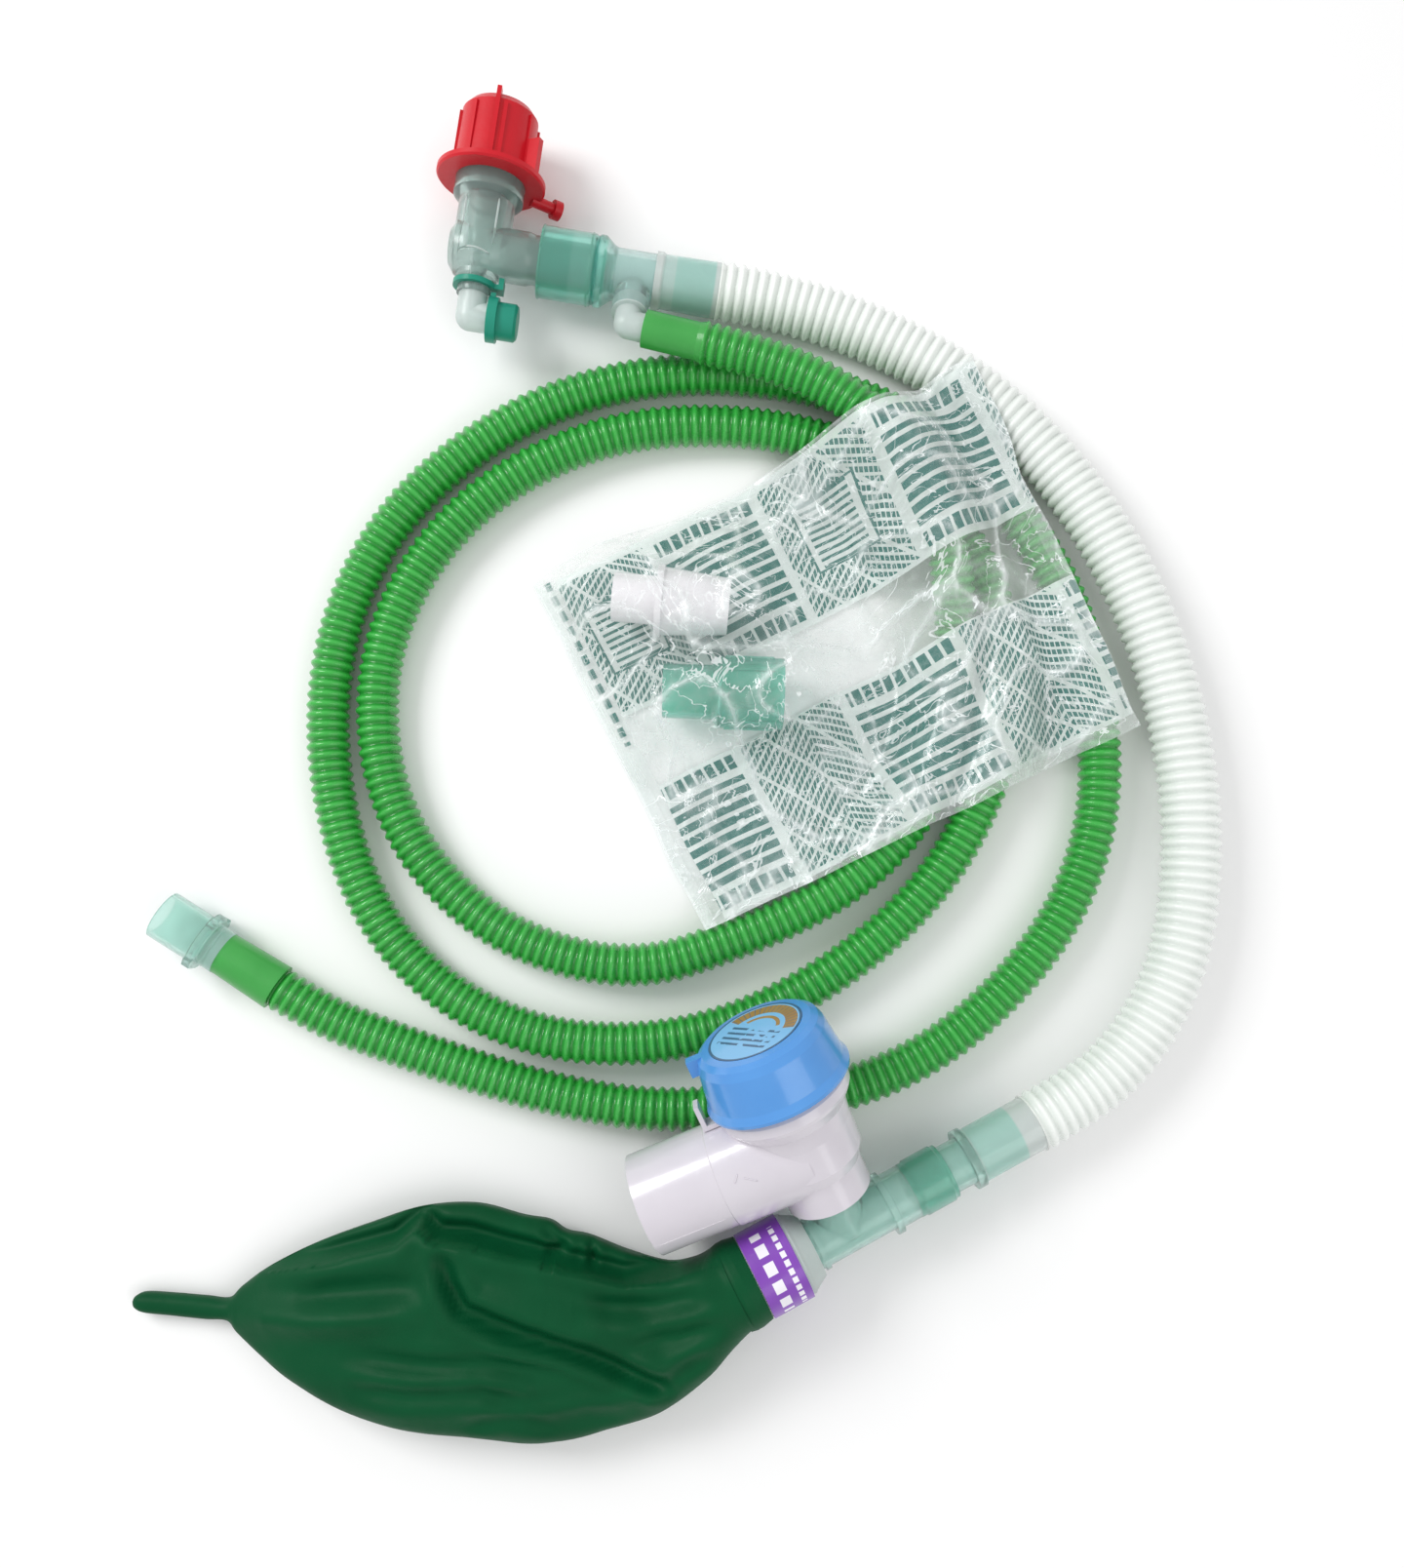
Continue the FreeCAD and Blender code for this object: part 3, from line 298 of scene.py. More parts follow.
# corrugated hoses
def hoseMaterial(name, valleyShade, crest, finish):
    made, paint, shader = newMaterial(name, finish)
    where = place(paint)
    ring = paint.node("ShaderNodeAttribute", {"attribute_name": "crest"}, {}, "Fac")
    drift = clouds(paint, where, 22, 3.0)
    # painted shade: the ring's crest value, with a random drift, lightens the crests and leaves the
    # corrugation valleys in the darker valley colour
    share = (ring * 0.8 + drift * 0.4 - 0.1).larger(0.0).smaller(1.0)
    feed(blendColours(paint, share, (*valleyShade, 1), (*crest, 1)), shader, "Base Color")
    feed(0.2 + clouds(paint, where, 600) * 0.16, shader, "Roughness")
    roughen(paint, shader, clouds(paint, where, 420, 2.0, 1.0), 0.12, 0.0003)
    return made


def smoothLine(name, route):  # the NURBS line that the hose follows, and its points
    curve = bpy.data.curves.new(name + "Line", "CURVE")
    curve.dimensions = "3D"
    curve.resolution_u = 24
    spline = curve.splines.new("NURBS")
    spline.points.add(len(route) - 1)
    for point, spot in zip(spline.points, route):
        point.co = (*spot, 1)
    spline.order_u = 3
    spline.use_endpoint_u = True
    holder = bpy.data.objects.new(name + "Line", curve)
    bpy.context.scene.collection.objects.link(holder)
    bpy.context.view_layer.update()
    traced = bpy.data.meshes.new_from_object(holder)
    spots = np.array([vertex.co[:] for vertex in traced.vertices])
    bpy.data.objects.remove(holder)
    return spots


def evenSteps(spots, step):
    runs = np.linalg.norm(np.diff(spots, axis=0), axis=1)
    keep = np.concatenate(([True], runs > 1e-7))
    spots = spots[keep]
    station = np.concatenate(([0.0], np.cumsum(np.linalg.norm(np.diff(spots, axis=0), axis=1))))
    count = int(round(station[-1] / step)) + 1
    wanted = np.linspace(0, station[-1], count)
    return wanted, np.stack([np.interp(wanted, station, spots[:, k]) for k in range(3)], axis=1)


def newPiece(name, points, faces, material, body):
    mesh = bpy.data.meshes.new(name)
    mesh.from_pydata([tuple(p) for p in points], [], faces)
    mesh.validate()
    mesh.polygons.foreach_set("use_smooth", [True] * len(mesh.polygons))
    mesh.materials.append(material)
    piece = bpy.data.objects.new(name, mesh)
    bpy.context.scene.collection.objects.link(piece)
    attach(piece, body)
    return piece


def tubeFaces(rings, sides):  # four-sided faces between rings of points, and a cap at each end
    faces = []
    for i in range(rings - 1):
        near, far = i * sides, (i + 1) * sides
        faces += [(near + j, near + (j + 1) % sides, far + (j + 1) % sides, far + j) for j in range(sides)]
    faces.append(tuple(range(sides - 1, -1, -1)))
    faces.append(tuple((rings - 1) * sides + j for j in range(sides)))
    return faces


beadSides = 10


def bead(name, spots, radius, material, body):  # a thin raised line that follows the spots
    spots = np.array([tuple(spot) for spot in spots])
    heading = np.gradient(spots, axis=0)
    heading /= np.linalg.norm(heading, axis=1)[:, None]
    turns = np.linspace(0, 2 * math.pi, beadSides, endpoint=False)
    swell = np.sqrt(np.clip(np.sin(np.linspace(0.06, math.pi - 0.06, len(spots))) * 3, 0, 1))
    side = np.cross(heading[0], (0.31, 0.2, 0.93))
    points = []
    for spot, ahead, share in zip(spots, heading, swell):
        side = side - ahead * np.dot(side, ahead)
        side /= np.linalg.norm(side)
        high = np.cross(ahead, side)
        points.append(spot + radius * share * (np.cos(turns)[:, None] * side + np.sin(turns)[:, None] * high))
    return newPiece(name, np.concatenate(points), tubeFaces(len(spots), beadSides), material, body)


def onTube(centre, axis, radius, run, turn):  # a spot on a round tube, turned from its highest line
    top = (Vector((0, 0, 1)) - axis * axis.z).normalized()
    side = axis.cross(top)
    return centre + axis * run + (top * math.cos(turn) + side * math.sin(turn)) * radius


def mouldMarks(spec):
    outletRoot = teeCentre + valveAxis * spec["outletAt"]
    for number, strokes in enumerate(spec["tick"]):
        (runA, turnA), (runB, turnB) = strokes
        steps = [onTube(outletRoot, outletAxis, spec["outletRootRadius"], runA + (runB - runA) * k / 8,
                        turnA + (turnB - turnA) * k / 8) for k in range(9)]
        bead("valveTick" + str(number), steps, 0.00022, valveWhite, "valve")
    seam = [onTube(outletRoot, outletAxis, spec["outletRadius"], 0.028 + 0.021 * k / 20, spec["seamTurn"])
            for k in range(21)]
    bead("outletSeam", seam, 0.00014, valveWhite, "valve")
    corner = teeMouth - teeAxis * spec["elbowReach"]
    for number, turn in enumerate(spec["elbowLines"]):
        line = [onTube(corner, portAxis, spec["elbowRadius"], -0.001 + 0.0155 * k / 16, turn)
                for k in range(17)]
        bead("elbowLine" + str(number), line, 0.00035, milky, "elbow")
    crossing = [onTube(corner, portAxis, spec["crossRadius"], -0.0035 + 0.0006 * math.sin(k / 3),
                       -0.55 + 1.1 * k / 12) for k in range(13)]
    bead("elbowCross", crossing, 0.0003, milky, "elbow")
    for number, run in enumerate(spec["socketRings"]):
        ring = [onTube(teeMouth, teeAxis, spec["socketRadius"], run, 2 * math.pi * k / 72) for k in range(73)]
        bead("socketRing" + str(number), ring, 0.00032, tealDeep, "base")


markSpec = {"outletRootRadius": 0.01542, "outletRadius": 0.01498, "elbowRadius": 0.0088,
            "crossRadius": 0.0090, "socketRadius": 0.01098,
            "outletAt": 0.031, "seamTurn": -0.75, "elbowReach": 0.019, "elbowLines": (-0.62, 0.62),
            "socketRings": (0.0004, 0.0158),
            "tick": [((0.0212, -0.08), (0.0196, 0.05)), ((0.0186, -0.04), (0.0150, -0.20))]}
mouldMarks(markSpec)
print("stage: mould marks raised")


def corrugatedHose(spec, material):
    route = np.array(spec["route"]) + layoutShift
    line = smoothLine(spec["name"], route)
    station, spots = evenSteps(line, spec["pitch"] / spec["ringsPerPitch"])
    heading = np.gradient(spots, axis=0)
    heading /= np.linalg.norm(heading, axis=1)[:, None]
    side = np.cross(heading[0], (0, 0, 1.0))
    side /= np.linalg.norm(side)
    turns = np.linspace(0, 2 * math.pi, spec["sides"], endpoint=False)
    wave = 0.5 + 0.5 * np.cos(2 * math.pi * station / spec["pitch"])
    wave = wave ** spec["sharpness"]
    radius = spec["radius"] - spec["depth"] * (1 - wave)
    points = []
    for spot, ahead, size in zip(spots, heading, radius):
        side = side - ahead * np.dot(side, ahead)
        side /= np.linalg.norm(side)
        high = np.cross(ahead, side)
        points.append(spot + size * (np.cos(turns)[:, None] * side + np.sin(turns)[:, None] * high))
    sides = spec["sides"]
    hose = newPiece(spec["name"], np.concatenate(points), tubeFaces(len(spots), sides), material, "base")
    # the crest value also drives the painted shade in the hose material's valleys
    crest = hose.data.attributes.new("crest", "FLOAT", "POINT")
    crest.data.foreach_set("value", np.repeat(wave, sides))
    print("stage:", spec["name"], "is", round(float(station[-1]), 3), "m long")
    return hose, [tuple(p) for p in spots[::4]]


low = 0.00675    # height of the green hose's centreline where it lies on the surface
gasSpec = {
    "name": "gasHose", "radius": 0.00675, "depth": 0.00115, "pitch": 0.0032, "sharpness": 0.75,
    "ringsPerPitch": 8, "sides": 28,
    "route": [
        (0.0006, 0.1353, 0.0215), (0.024, 0.1295, 0.0215), (0.047, 0.1175, 0.0215), (0.065, 0.0985, 0.0213),
        (0.076, 0.074, 0.018), (0.0795, 0.049, 0.0105), (0.0785, 0.026, low), (0.0735, 0.005, low),
        (0.064, -0.014, low), (0.049, -0.029, low), (0.029, -0.041, low), (0.005, -0.0505, low),
        (-0.015, -0.057, low), (-0.039, -0.0555, low), (-0.067, -0.044, low), (-0.09, -0.021, low),
        (-0.1015, 0.009, low), (-0.101, 0.043, low), (-0.0865, 0.074, low), (-0.062, 0.0975, low),
        (-0.028, 0.1125, low), (0.008, 0.115, low), (0.043, 0.109, low), (0.072, 0.093, low),
        (0.089, 0.067, low), (0.0955, 0.039, low), (0.093, 0.012, low), (0.084, -0.0125, low),
        (0.07, -0.0335, low), (0.0515, -0.051, low), (0.029, -0.066, low), (0.003, -0.077, low),
        (-0.024, -0.081, low), (-0.051, -0.078, low), (-0.076, -0.067, low), (-0.096, -0.049, low),
        (-0.109, -0.025, low), (-0.116, 0.003, low), (-0.117, 0.031, low), (-0.1115, 0.058, low),
        (-0.098, 0.084, low), (-0.076, 0.106, low), (-0.049, 0.122, low), (-0.019, 0.1305, low),
        (0.012, 0.1315, low), (0.042, 0.1265, low), (0.0695, 0.1145, low), (0.0915, 0.095, low),
        (0.1093, 0.071, low), (0.1195, 0.044, low), (0.1243, 0.014, low), (0.1223, -0.0145, low),
        (0.112, -0.0405, low), (0.0945, -0.063, low), (0.072, -0.082, low), (0.0455, -0.094, low),
        (0.016, -0.0985, low), (-0.014, -0.1005, low), (-0.043, -0.096, low), (-0.071, -0.088, low),
        (-0.098, -0.0785, low), (-0.116, -0.0716, 0.007), (-0.1293, -0.0632, 0.0079)]}
lay = 0.00925    # the same height for the white hose
breathingSpec = {
    "name": "breathingHose", "radius": 0.00925, "depth": 0.0013, "pitch": 0.0034, "sharpness": 0.7,
    "ringsPerPitch": 8, "sides": 36,
    "route": [
        (0.005, 0.1567, 0.0115), (0.0276, 0.1537, 0.0095), (0.058, 0.1423, lay), (0.087, 0.125, lay),
        (0.1115, 0.1015, lay), (0.1305, 0.0715, lay), (0.1436, 0.038, lay), (0.1503, 0.002, lay),
        (0.1503, -0.028, lay), (0.146, -0.052, lay), (0.139, -0.0685, lay), (0.129, -0.083, lay),
        (0.1155, -0.0947, 0.0098), (0.0988, -0.1032, 0.0115)]}

# each hose gets a darker colour painted as shade into its corrugation valleys, and a lighter one for its
# crests
gasGreen = hoseMaterial("gasGreen", (0.010, 0.22, 0.022), (0.050, 0.50, 0.072),
                        {"IOR": 1.46, "Transmission Weight": 0.12,
                         "Coat Weight": 0.35, "Coat Roughness": 0.12})
hoseWhite = hoseMaterial("hoseWhite", (0.70, 0.75, 0.71), (0.90, 0.93, 0.90),
                         {"IOR": 1.44, "Coat Weight": 0.3, "Coat Roughness": 0.12})
gasHose, gasLine = corrugatedHose(gasSpec, gasGreen)
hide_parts("fresh_gas_hose")
breathingHose, breathingLine = corrugatedHose(breathingSpec, hoseWhite)
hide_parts("breathing_hose")


# shaping helpers for the bag and the film
def nearestOnLine(x, y, line):  # distance to a polyline, signed by its side, and how far along it the foot is
    best = np.full(x.shape, 1e9)
    signed = np.zeros(x.shape)
    share = np.zeros(x.shape)
    for number, ((ax, ay), (bx, by)) in enumerate(zip(line, line[1:])):
        dx, dy = bx - ax, by - ay
        reach = np.clip(((x - ax) * dx + (y - ay) * dy) / (dx * dx + dy * dy), 0, 1)
        away = np.hypot(x - ax - reach * dx, y - ay - reach * dy)
        side = np.sign(dx * (y - ay) - dy * (x - ax))
        closer = away < best
        best = np.where(closer, away, best)
        signed = np.where(closer, away * side, signed)
        share = np.where(closer, (number + reach) / (len(line) - 1), share)
    return signed, share


def throughStations(stations, count):  # a smooth curve through rows of numbers
    rows = np.array(stations, float)
    padded = np.vstack((2 * rows[0] - rows[1], rows, 2 * rows[-1] - rows[-2]))
    made = []
    for t in np.linspace(0, len(rows) - 1, count):
        k = min(int(t), len(rows) - 2)
        f = t - k
        a, b, c, d = padded[k:k + 4]
        bend = (2 * a - 5 * b + 4 * c - d) * f * f + (3 * b - a - 3 * c + d) * f ** 3
        made.append(0.5 * (2 * b + (c - a) * f + bend))
    return np.array(made)


def soften(points, scale, seed):  # smooth noise, one value for each row of points
    return np.array([noise.noise(Vector(p) * scale + Vector((seed, 0, 0))) for p in points])


# reservoir bag
bagSpec = {
    "rings": 260, "around": 132,
    "stations": [  # upper edge x y, lower edge x y, middle height, half height, all in millimetres
        (23.4, -149.4, 35.0, -172.0, 21.2, 12.75), (21.6, -150.3, 33.2, -172.9, 20.7, 12.7),
        (17, -153.5, 28.5, -178.5, 17.2, 12.6),
        (9, -155.5, 20.5, -188, 14.2, 12.8), (-3, -152.5, 7, -198, 12.4, 12.0),
        (-14, -148.3, -9, -203.2, 11.8, 11.4), (-21, -146.8, -16, -205.2, 11.8, 11.4),
        (-26, -143.8, -22, -206.3, 11.8, 11.4), (-34, -142.4, -32, -207, 11.8, 11.4),
        (-48, -139, -47, -205.5, 11.8, 11.4), (-64, -140, -68, -203.5, 11.2, 10.8),
        (-80, -145, -86, -198.5, 10.2, 9.8), (-96, -151, -102, -190.5, 8.6, 8.2),
        (-110, -158, -112, -184, 6.4, 6.1), (-118.5, -164, -119.5, -178, 4.8, 4.5),
        (-123, -168, -123, -174.6, 4.0, 3.5), (-130, -167.6, -130, -174.2, 3.7, 3.2),
        (-140, -166.8, -140, -173.2, 3.6, 3.1), (-148, -166.4, -148, -172.4, 3.6, 3.1),
        (-151, -167.4, -151, -171.2, 3.6, 2.2), (-152, -168.8, -152, -169.8, 3.6, 0.6)],
    "lip": [(-112, -160), (-90, -155), (-70, -149.5), (-64, -144.5), (-59, -148.5), (-50, -149), (-39, -152),
            (-17, -157), (-4, -160), (10, -158.5), (21, -154)],
    "creases": [  # line, depth, width
        ([(-57, -150), (-54, -160), (-50, -167), (-36, -173), (-14, -180), (4, -187), (12, -191)], 4.6, 2.4),
        ([(-119, -171), (-95, -171), (-60, -168.5)], -2.4, 4.2),
        ([(-100, -165), (-80, -163), (-60, -160)], 1.6, 3.0),
        ([(-86, -181), (-60, -183), (-36, -182.5), (-8, -186)], 2.0, 2.6),
        ([(-84, -190), (-66, -192), (-44, -190), (-30, -194)], 1.8, 2.4),
        ([(-30, -196), (-14, -193), (0, -193)], -1.6, 2.4),
        ([(-50, -201), (-38, -198), (-22, -200)], 1.4, 2.0),
        ([(-44, -160), (-26, -167), (-4, -173), (8, -180)], -1.8, 4.0),
        ([(27, -168), (12, -174), (-6, -178)], 1.6, 2.4),
        ([(24, -161), (5, -165), (-18, -167)], 1.5, 2.6),
        ([(22, -178), (8, -187), (0, -190)], 1.4, 2.0),
        ([(-63, -140), (-63, -145)], -1.6, 1.2),
        ([(-13, -148), (-13, -157)], 2.0, 1.2),
        ([(-28, -145), (-22, -150), (-27, -153)], 2.2, 1.6)]}


def bagMaterial():
    made, paint, shader = newMaterial("bagRubber", {"IOR": 1.45, "Specular IOR Level": 0.14})
    where = place(paint)
    cloudy = clouds(paint, where, 34, 5.0, 0.6)
    colour = blendColours(paint, cloudy, (0.0006, 0.045, 0.014, 1), (0.0020, 0.092, 0.031, 1))
    feed(colour, shader, "Base Color")
    feed(0.40 + clouds(paint, where, 260, 3.0) * 0.18, shader, "Roughness")
    powder = clouds(paint, where, 2600, 2.0)
    rubbed = clouds(paint, where, 140, 4.0, 1.2)
    roughen(paint, shader, powder * 0.3 + rubbed, 0.3, 0.0005)
    return made


def reservoirBag(spec):
    rows = throughStations(spec["stations"], spec["rings"])
    turns = np.linspace(0, 2 * math.pi, spec["around"], endpoint=False)
    upper, lower, middle, half = rows[:, 0:2], rows[:, 2:4], rows[:, 4], np.maximum(rows[:, 5], 0.3)
    cosine, sine = np.cos(turns), np.sin(turns)
    across = np.sign(cosine) * np.abs(cosine) ** 0.92
    flatness = np.clip((np.arange(spec["rings"]) / spec["rings"] - 0.03) * 9, 0, 1)[:, None]
    below = -np.abs(sine) ** (1.0 - 0.45 * flatness)
    high = np.where(sine > 0, np.abs(sine) ** (1.0 - 0.1 * flatness), below)
    centre, reach = (upper + lower) / 2, (upper - lower) / 2
    x = centre[:, 0:1] + reach[:, 0:1] * across
    y = centre[:, 1:2] + reach[:, 1:2] * across
    z = middle[:, None] + half[:, None] * high
    weight = np.clip(high, 0, 1) ** 0.6 * np.clip((half[:, None] - 3.3) / 3, 0, 1) * flatness
    signed, share = nearestOnLine(x, y, spec["lip"])  # positive behind the lip, towards the upper edge
    strength = np.sin(np.pi * np.clip(share, 0.03, 0.97)) ** 0.4
    raised = 3.0 * np.exp(-((signed + 1.2) / 4.0) ** 2)
    sunk = 8.5 * np.exp(-((signed - 2.8) / 2.6) ** 2) * (signed > 0)
    sunk += 2.6 * np.clip(signed / 6, 0, 1)
    z += weight * strength * (raised - sunk) * (np.abs(signed) < 16)
    for line, depth, width in spec["creases"]:
        away, share = nearestOnLine(x, y, line)
        fade = np.clip(np.minimum(share, 1 - share) * 5, 0, 1) ** 0.7
        shoulder = np.exp(-((np.abs(away) - 2.1 * width) / (1.1 * width)) ** 2)
        profile = np.exp(-(away / width) ** 2) - 0.45 * shoulder
        z -= weight * fade * depth * profile
    flat = np.stack((x.ravel(), y.ravel(), z.ravel()), axis=1)
    ripple = 0.9 * soften(flat, 0.045, 3.0) + 0.35 * soften(flat, 0.13, 9.0)
    flat[:, 2] += weight.ravel() * ripple
    flat[:, 2] = np.maximum(flat[:, 2], 0.25)
    faces = tubeFaces(spec["rings"], spec["around"])
    return newPiece("reservoirBag", flat / 1000, faces, bagMaterial(), "base")


bag = reservoirBag(bagSpec)
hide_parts("reservoir_bag")
dress(bag.data.materials[0], "bag_neck_ring")
print("stage: reservoir bag shaped")


# film pouch
pouchSpec = {
    "angle": 26.6, "centre": (40.5, 41.5), "columns": 190, "rows": 150, "adapterHeight": 13.2,
    "corners": {"upperLeft": (-74.5, 60), "upperRight": (79.5, 61),
                "lowerRight": (73.5, -64.5), "lowerLeft": (-74.5, -60.5)},
    "adapters": [((-27.5, 57), (0.996, -0.0896), 36.0, 11.4), ((-12, 27.5), (0.9996, -0.03), 37.0, 11.5)]}


def hoseTops(x, y):  # how high a film that lies on the hoses is
    height = np.full(x.shape, 1.2)
    for spec in (gasSpec, breathingSpec):
        route = np.array(spec["route"]) * 1000
        for a, b in zip(route, route[1:]):
            run = b[:2] - a[:2]
            share = np.clip(((x - a[0]) * run[0] + (y - a[1]) * run[1]) / run.dot(run), 0, 1)
            away = np.hypot(x - a[0] - share * run[0], y - a[1] - share * run[1])
            top = a[2] + share * (b[2] - a[2]) + spec["radius"] * 1000 + 1.2
            height = np.maximum(height, top - 0.75 * np.maximum(0, away - spec["radius"] * 600) ** 1.15)
    return height


def smoothGrid(values, rounds):
    for _ in range(rounds):
        edge = np.pad(values, 1, mode="edge")
        values = (edge[:-2, 1:-1] + edge[2:, 1:-1] + edge[1:-1, :-2] + edge[1:-1, 2:] + 2 * values) / 6
    return values


def pouchSkin(name, spec, cover, seed, material):
    s = np.linspace(0, 1, spec["columns"] + 1)[:, None]
    t = np.linspace(0, 1, spec["rows"] + 1)[None, :]
    corners = {key: np.array(value, float) for key, value in spec["corners"].items()}
    u = (1 - t) * ((1 - s) * corners["lowerLeft"][0] + s * corners["lowerRight"][0])
    u = u + t * ((1 - s) * corners["upperLeft"][0] + s * corners["upperRight"][0])
    v = (1 - t) * ((1 - s) * corners["lowerLeft"][1] + s * corners["lowerRight"][1])
    v = v + t * ((1 - s) * corners["upperLeft"][1] + s * corners["upperRight"][1])
    turn = math.radians(spec["angle"])
    flatPoints = np.stack(((u / 60).ravel(), (v / 60).ravel(), np.zeros(u.size)), axis=1)
    waveU = soften(flatPoints, 2.6, 21.0).reshape(u.shape)
    waveV = soften(flatPoints, 2.6, 43.0).reshape(u.shape)
    x = spec["centre"][0] + (u + 1.2 * waveU) * math.cos(turn) - (v + 1.2 * waveV) * math.sin(turn)
    y = spec["centre"][1] + (u + 1.2 * waveU) * math.sin(turn) + (v + 1.2 * waveV) * math.cos(turn)
    z = smoothGrid(hoseTops(x, y), 10)
    inside = np.clip(np.minimum(np.minimum(s, 1 - s) * 14, np.minimum(t, 1 - t) * 12), 0, 1)
    sharp = 1 - np.abs(soften(flatPoints, 3.1, seed)).reshape(u.shape) * 3.2
    fine = 1 - np.abs(soften(flatPoints, 7.5, seed + 5)).reshape(u.shape) * 3.0
    crinkle = np.clip(sharp, 0, 1) ** 3 * 2.0 + np.clip(fine, 0, 1) ** 3 * 0.8
    if cover:
        z = z + 0.5 + 1.4 * inside
        for (ax, ay), (dx, dy), length, radius in spec["adapters"]:
            share = np.clip((x - ax) * dx + (y - ay) * dy, 0, length)
            away = np.hypot(x - ax - share * dx, y - ay - share * dy)
            z = np.maximum(z, spec["adapterHeight"] + radius + 1.4 - np.maximum(0, away - radius + 3) ** 1.05)
        z = smoothGrid(z, 4) + crinkle * inside
    else:
        low = np.full(x.shape, 99.0)
        for (ax, ay), (dx, dy), length, radius in spec["adapters"]:
            share = np.clip((x - ax) * dx + (y - ay) * dy, -3, length + 3)
            away = np.hypot(x - ax - share * dx, y - ay - share * dy)
            low = np.minimum(low, 1.2 + 0.9 * np.maximum(0, away - radius + 2) ** 1.1)
        z = np.minimum(z + 0.35 * crinkle * inside, np.maximum(low, 1.2))
    points = np.stack((x.ravel() / 1000, y.ravel() / 1000, z.ravel() / 1000), axis=1) + layoutShift
    rows = spec["rows"] + 1
    faces = [(i * rows + j, (i + 1) * rows + j, (i + 1) * rows + j + 1, i * rows + j + 1)
             for i in range(spec["columns"]) for j in range(spec["rows"])]
    skin = newPiece(name, points, faces, material, "pouch")
    # the crinkle value is kept for the film materials, which paint highlights along the ridges with it
    for attribute, values in (("printU", u), ("printV", v), ("crinkle", crinkle / 2)):
        made = skin.data.attributes.new(attribute, "FLOAT", "POINT")
        made.data.foreach_set("value", values.ravel())
    return skin


def printAxes(paint):
    names = ("printU", "printV", "crinkle")
    return [paint.node("ShaderNodeAttribute", {"attribute_name": name}, {}, "Fac") for name in names]


def printedFilm(spec):
    made, paint, shader = newMaterial("printedFilm", {"Coat Weight": 0.6, "Coat Roughness": 0.08})
    where = place(paint)
    u, v, crinkle = printAxes(paint)
    upperBand = between(v, 11.0, 59.5)
    lowerBand = between(v, -60.0, -13.0)
    band = upperBand.larger(lowerBand)
    rise = upperBand * (v - 11.0) + lowerBand * (v + 60.0)
    panelRun = (u + 73.0 + lowerBand * 4.0) / spec["panel"]
    panel = panelRun.floor()
    spot = panelRun.fract() * spec["panel"]
    insidePanel = between(spot, 1.6, spec["panel"] - 1.6) * between(rise, 1.5, 46.5)
    oddPanel = ((panel + lowerBand) * 0.5).fract() > 0.25
    barRows = ((rise - 9.2) / 3.9).fract() < 0.62
    bars = barRows * between(rise, 9.2, 38.4)
    header = between(rise, 41.0, 45.6).larger(between(rise, 2.4, 7.0)) * ((spot / 3.6).fract() < 0.72)
    stripes = bars.larger(header)
    fold = paint.math("ABSOLUTE", spot - spec["panel"] * 0.62)  # rows of hatching slope away from this line
    rows = ((rise + fold * 0.75 + 100) / 2.9).fract()
    dashes = ((spot - rise * 0.2 + 100) / 1.3).fract()
    word = ((spot + rise * 0.6 + 100) / 12.5).fract() < 0.9
    hatch = (rows < 0.64) * (dashes < 0.78) * word
    notice = between(spot, 8.5, 29.0) * between(rise, 13.0, 36.0)
    noticeInk = notice * (((rise / 2.3).fract() < 0.42) * between(spot, 11.0, 26.5))
    noticeEdge = notice * (1 - between(spot, 9.2, 28.3) * between(rise, 13.7, 35.3))
    boxed = upperBand * (1 - notice) * hatch + upperBand * (noticeInk.larger(noticeEdge)) + lowerBand * hatch
    ink = insidePanel * (oddPanel * stripes + (1 - oddPanel) * boxed)
    seal = (u < -67.5)
    sealDash = between(u, -71.2, -69.2) * ((v / 5.2).fract() < 0.62) * (v > 2.0)
    ink = ink * (1 - seal) + sealDash
    sealLines = (u < -71.8) * ((u / 0.9).fract() < 0.4)
    worn = 0.8 + clouds(paint, where, 300, 3.0) * 0.4
    ink = ink * worn
    colour = blendColours(paint, ink.smaller(1.0), (0.82, 0.90, 0.87, 1), (0.008, 0.15, 0.125, 1))
    feed(colour, shader, "Base Color")
    # crinkle * 0.16 paints highlights: the pale film grows more opaque along the crinkle ridges
    clear = spec["clear"] + spec["milky"] * band * (1 - seal) + 0.2 * seal + 0.25 * sealLines + crinkle * 0.16
    feed((clear + ink * 0.55).smaller(0.97), shader, "Alpha")
    feed(0.16 + clouds(paint, where, 240) * 0.2, shader, "Roughness")
    roughen(paint, shader, clouds(paint, where, 150, 4.0, 2.0), 0.35, 0.0006)
    return made


def clearFilm():
    made, paint, shader = newMaterial("clearFilm", {"Coat Weight": 0.8, "Coat Roughness": 0.04, "IOR": 1.6})
    where = place(paint)
    u, v, crinkle = printAxes(paint)
    creases = clouds(paint, where, 120, 4.0, 2.5)
    broad = clouds(paint, where, 38, 3.0, 3.0)
    # painted highlights: thin bands of the two noises, and the crinkle ridges in the alpha below, make the
    # pale film more opaque so they show as bright streaks
    glint = between(broad, 0.488, 0.506) * 0.5 + between(creases, 0.49, 0.505) * 0.1
    seal = (u < -70.5) * 0.22
    edge = 1 - between(u, -73.8, 72.0) * between(v, -60.0, 59.8)
    feed(blendColours(paint, creases, (0.86, 0.93, 0.92, 1), (0.97, 0.99, 1.0, 1)), shader, "Base Color")
    feed((0.07 + glint + seal + 0.12 * edge + crinkle * crinkle * 0.4).smaller(0.9), shader, "Alpha")
    feed(0.08 + clouds(paint, where, 200) * 0.16, shader, "Roughness")
    roughen(paint, shader, creases + broad * 2, 0.4, 0.0012)
    return made


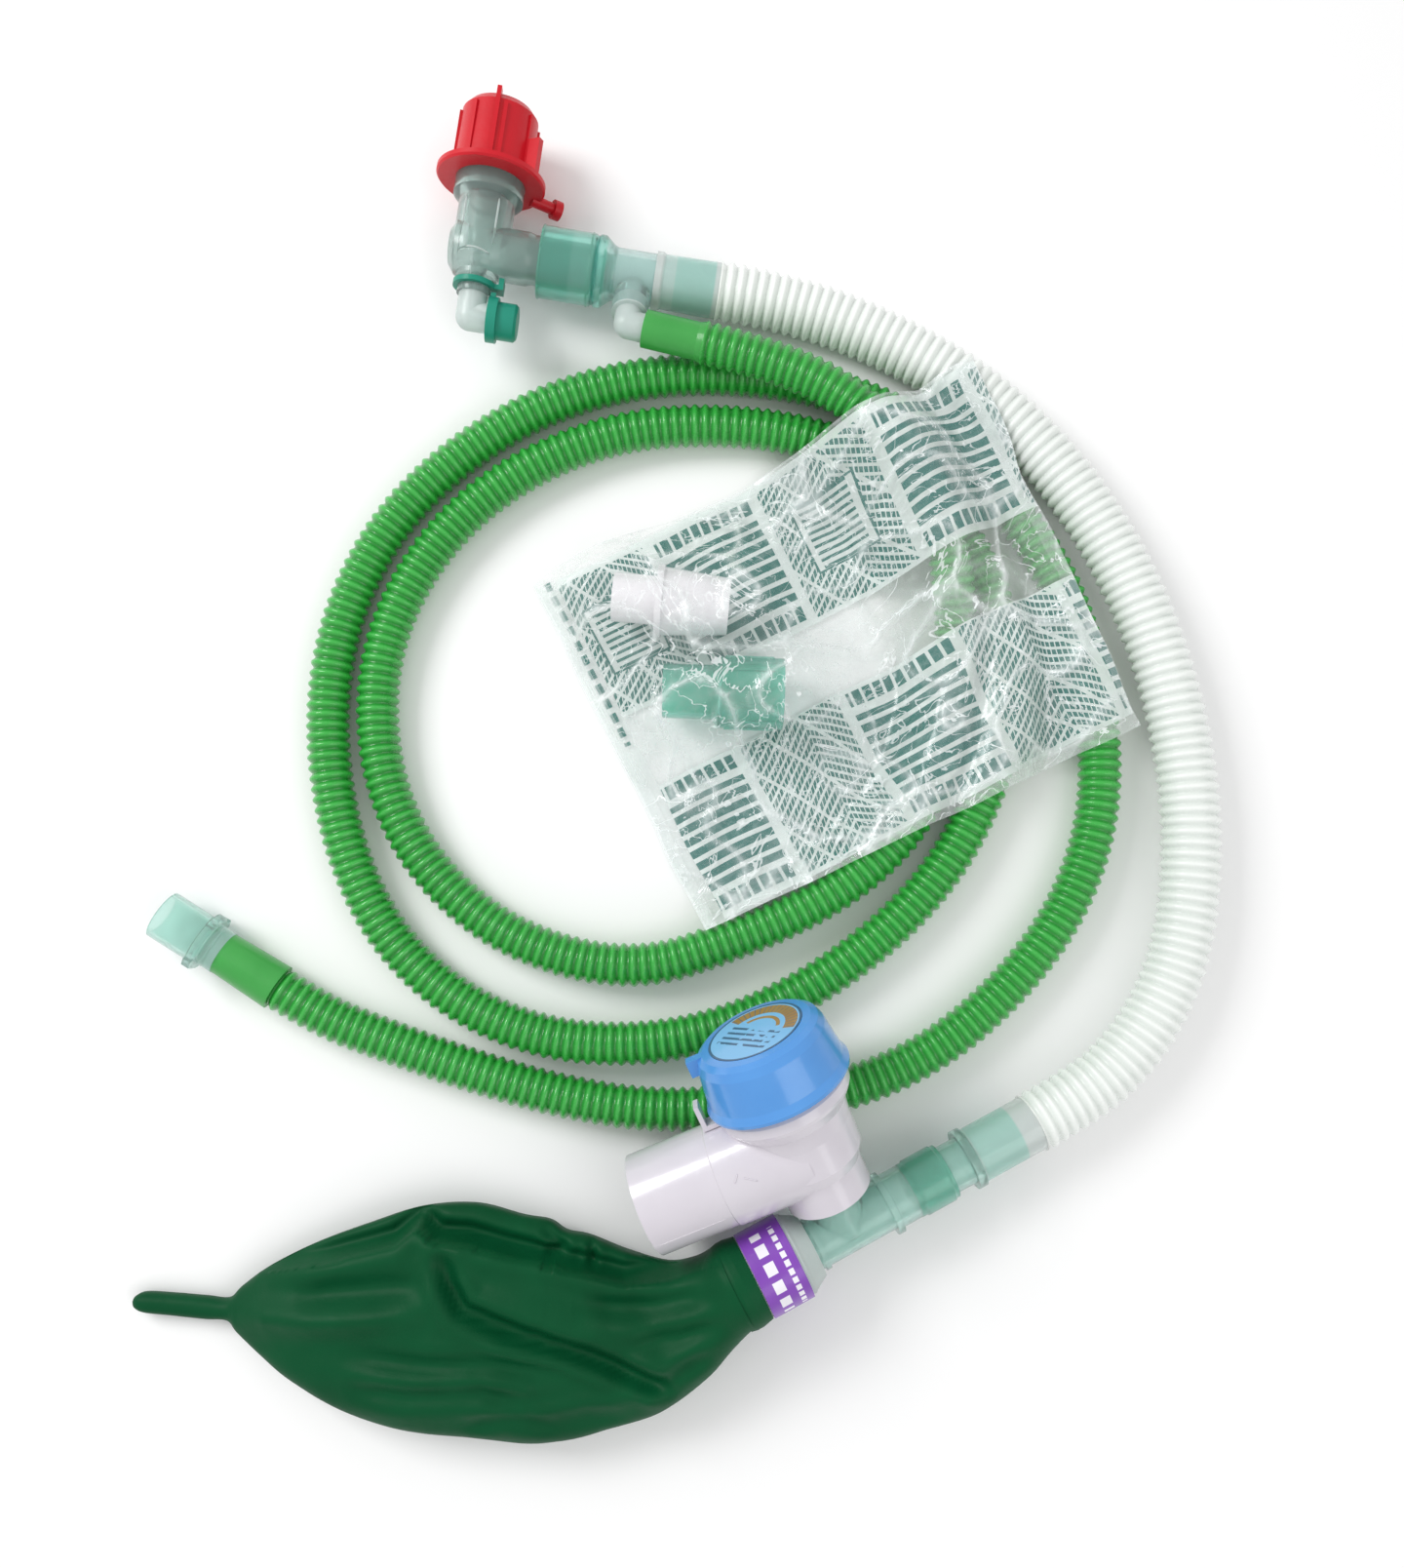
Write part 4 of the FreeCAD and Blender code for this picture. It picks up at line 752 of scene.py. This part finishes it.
inkSpec = {"panel": 36.8, "clear": 0.14, "milky": 0.56}
lowerSkin = pouchSkin("pouchLowerSkin", pouchSpec, False, 11.0, printedFilm(inkSpec))
upperSkin = pouchSkin("pouchUpperSkin", pouchSpec, True, 27.0, clearFilm())
for skin, node in ((lowerSkin, "pouch_lower_film"), (upperSkin, "pouch_upper_film")):
    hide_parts(node)
print("stage: film pouch laid")


# floor, light and camera
def floorAndLight(spec):
    mesh = bpy.data.meshes.new("floor")
    half = spec["floorHalf"]
    corners = [(-half, -half, 0), (half, -half, 0), (half, half, 0), (-half, half, 0)]
    mesh.from_pydata(corners, [], [(0, 1, 2, 3)])
    floor = bpy.data.objects.new("floor", mesh)
    bpy.context.scene.collection.objects.link(floor)
    made, paint, shader = newMaterial("paleFloor", {"Roughness": 0.7, "Base Color": (0.93, 0.93, 0.93, 1)})
    mesh.materials.append(made)
    for name, spot, size, power, turn in spec["lamps"]:
        lamp = bpy.data.lights.new(name, "AREA")
        lamp.size = size
        lamp.energy = power
        holder = bpy.data.objects.new(name, lamp)
        holder.location = spot
        holder.rotation_euler = turn
        bpy.context.scene.collection.objects.link(holder)
    world = bpy.data.worlds.new("studio")
    world.use_nodes = True
    world.node_tree.nodes["Background"].inputs["Color"].default_value = (1, 1, 1, 1)
    world.node_tree.nodes["Background"].inputs["Strength"].default_value = spec["sky"]
    bpy.context.scene.world = world
    bpy.context.scene.view_settings.view_transform = "Standard"


studio = {"floorHalf": 3.0, "sky": 0.7, "lamps": [
    ("key", (-0.75, 0.45, 0.8), 0.5, 7.5, (math.radians(-28), math.radians(-40), 0)),
    ("fill", (0.7, -0.5, 0.9), 0.8, 3.0, (math.radians(28), math.radians(36), 0))]}
floorAndLight(studio)

camera = bpy.data.objects.new("camera", bpy.data.cameras.new("camera"))
camera.location = (0.0192, -0.0585, 0.4396)
camera.rotation_euler = (math.radians(6), 0, 0)
camera.data.lens = 32.2
camera.data.clip_start = 0.01
bpy.context.scene.collection.objects.link(camera)
bpy.context.scene.camera = camera
print("stage: studio ready")
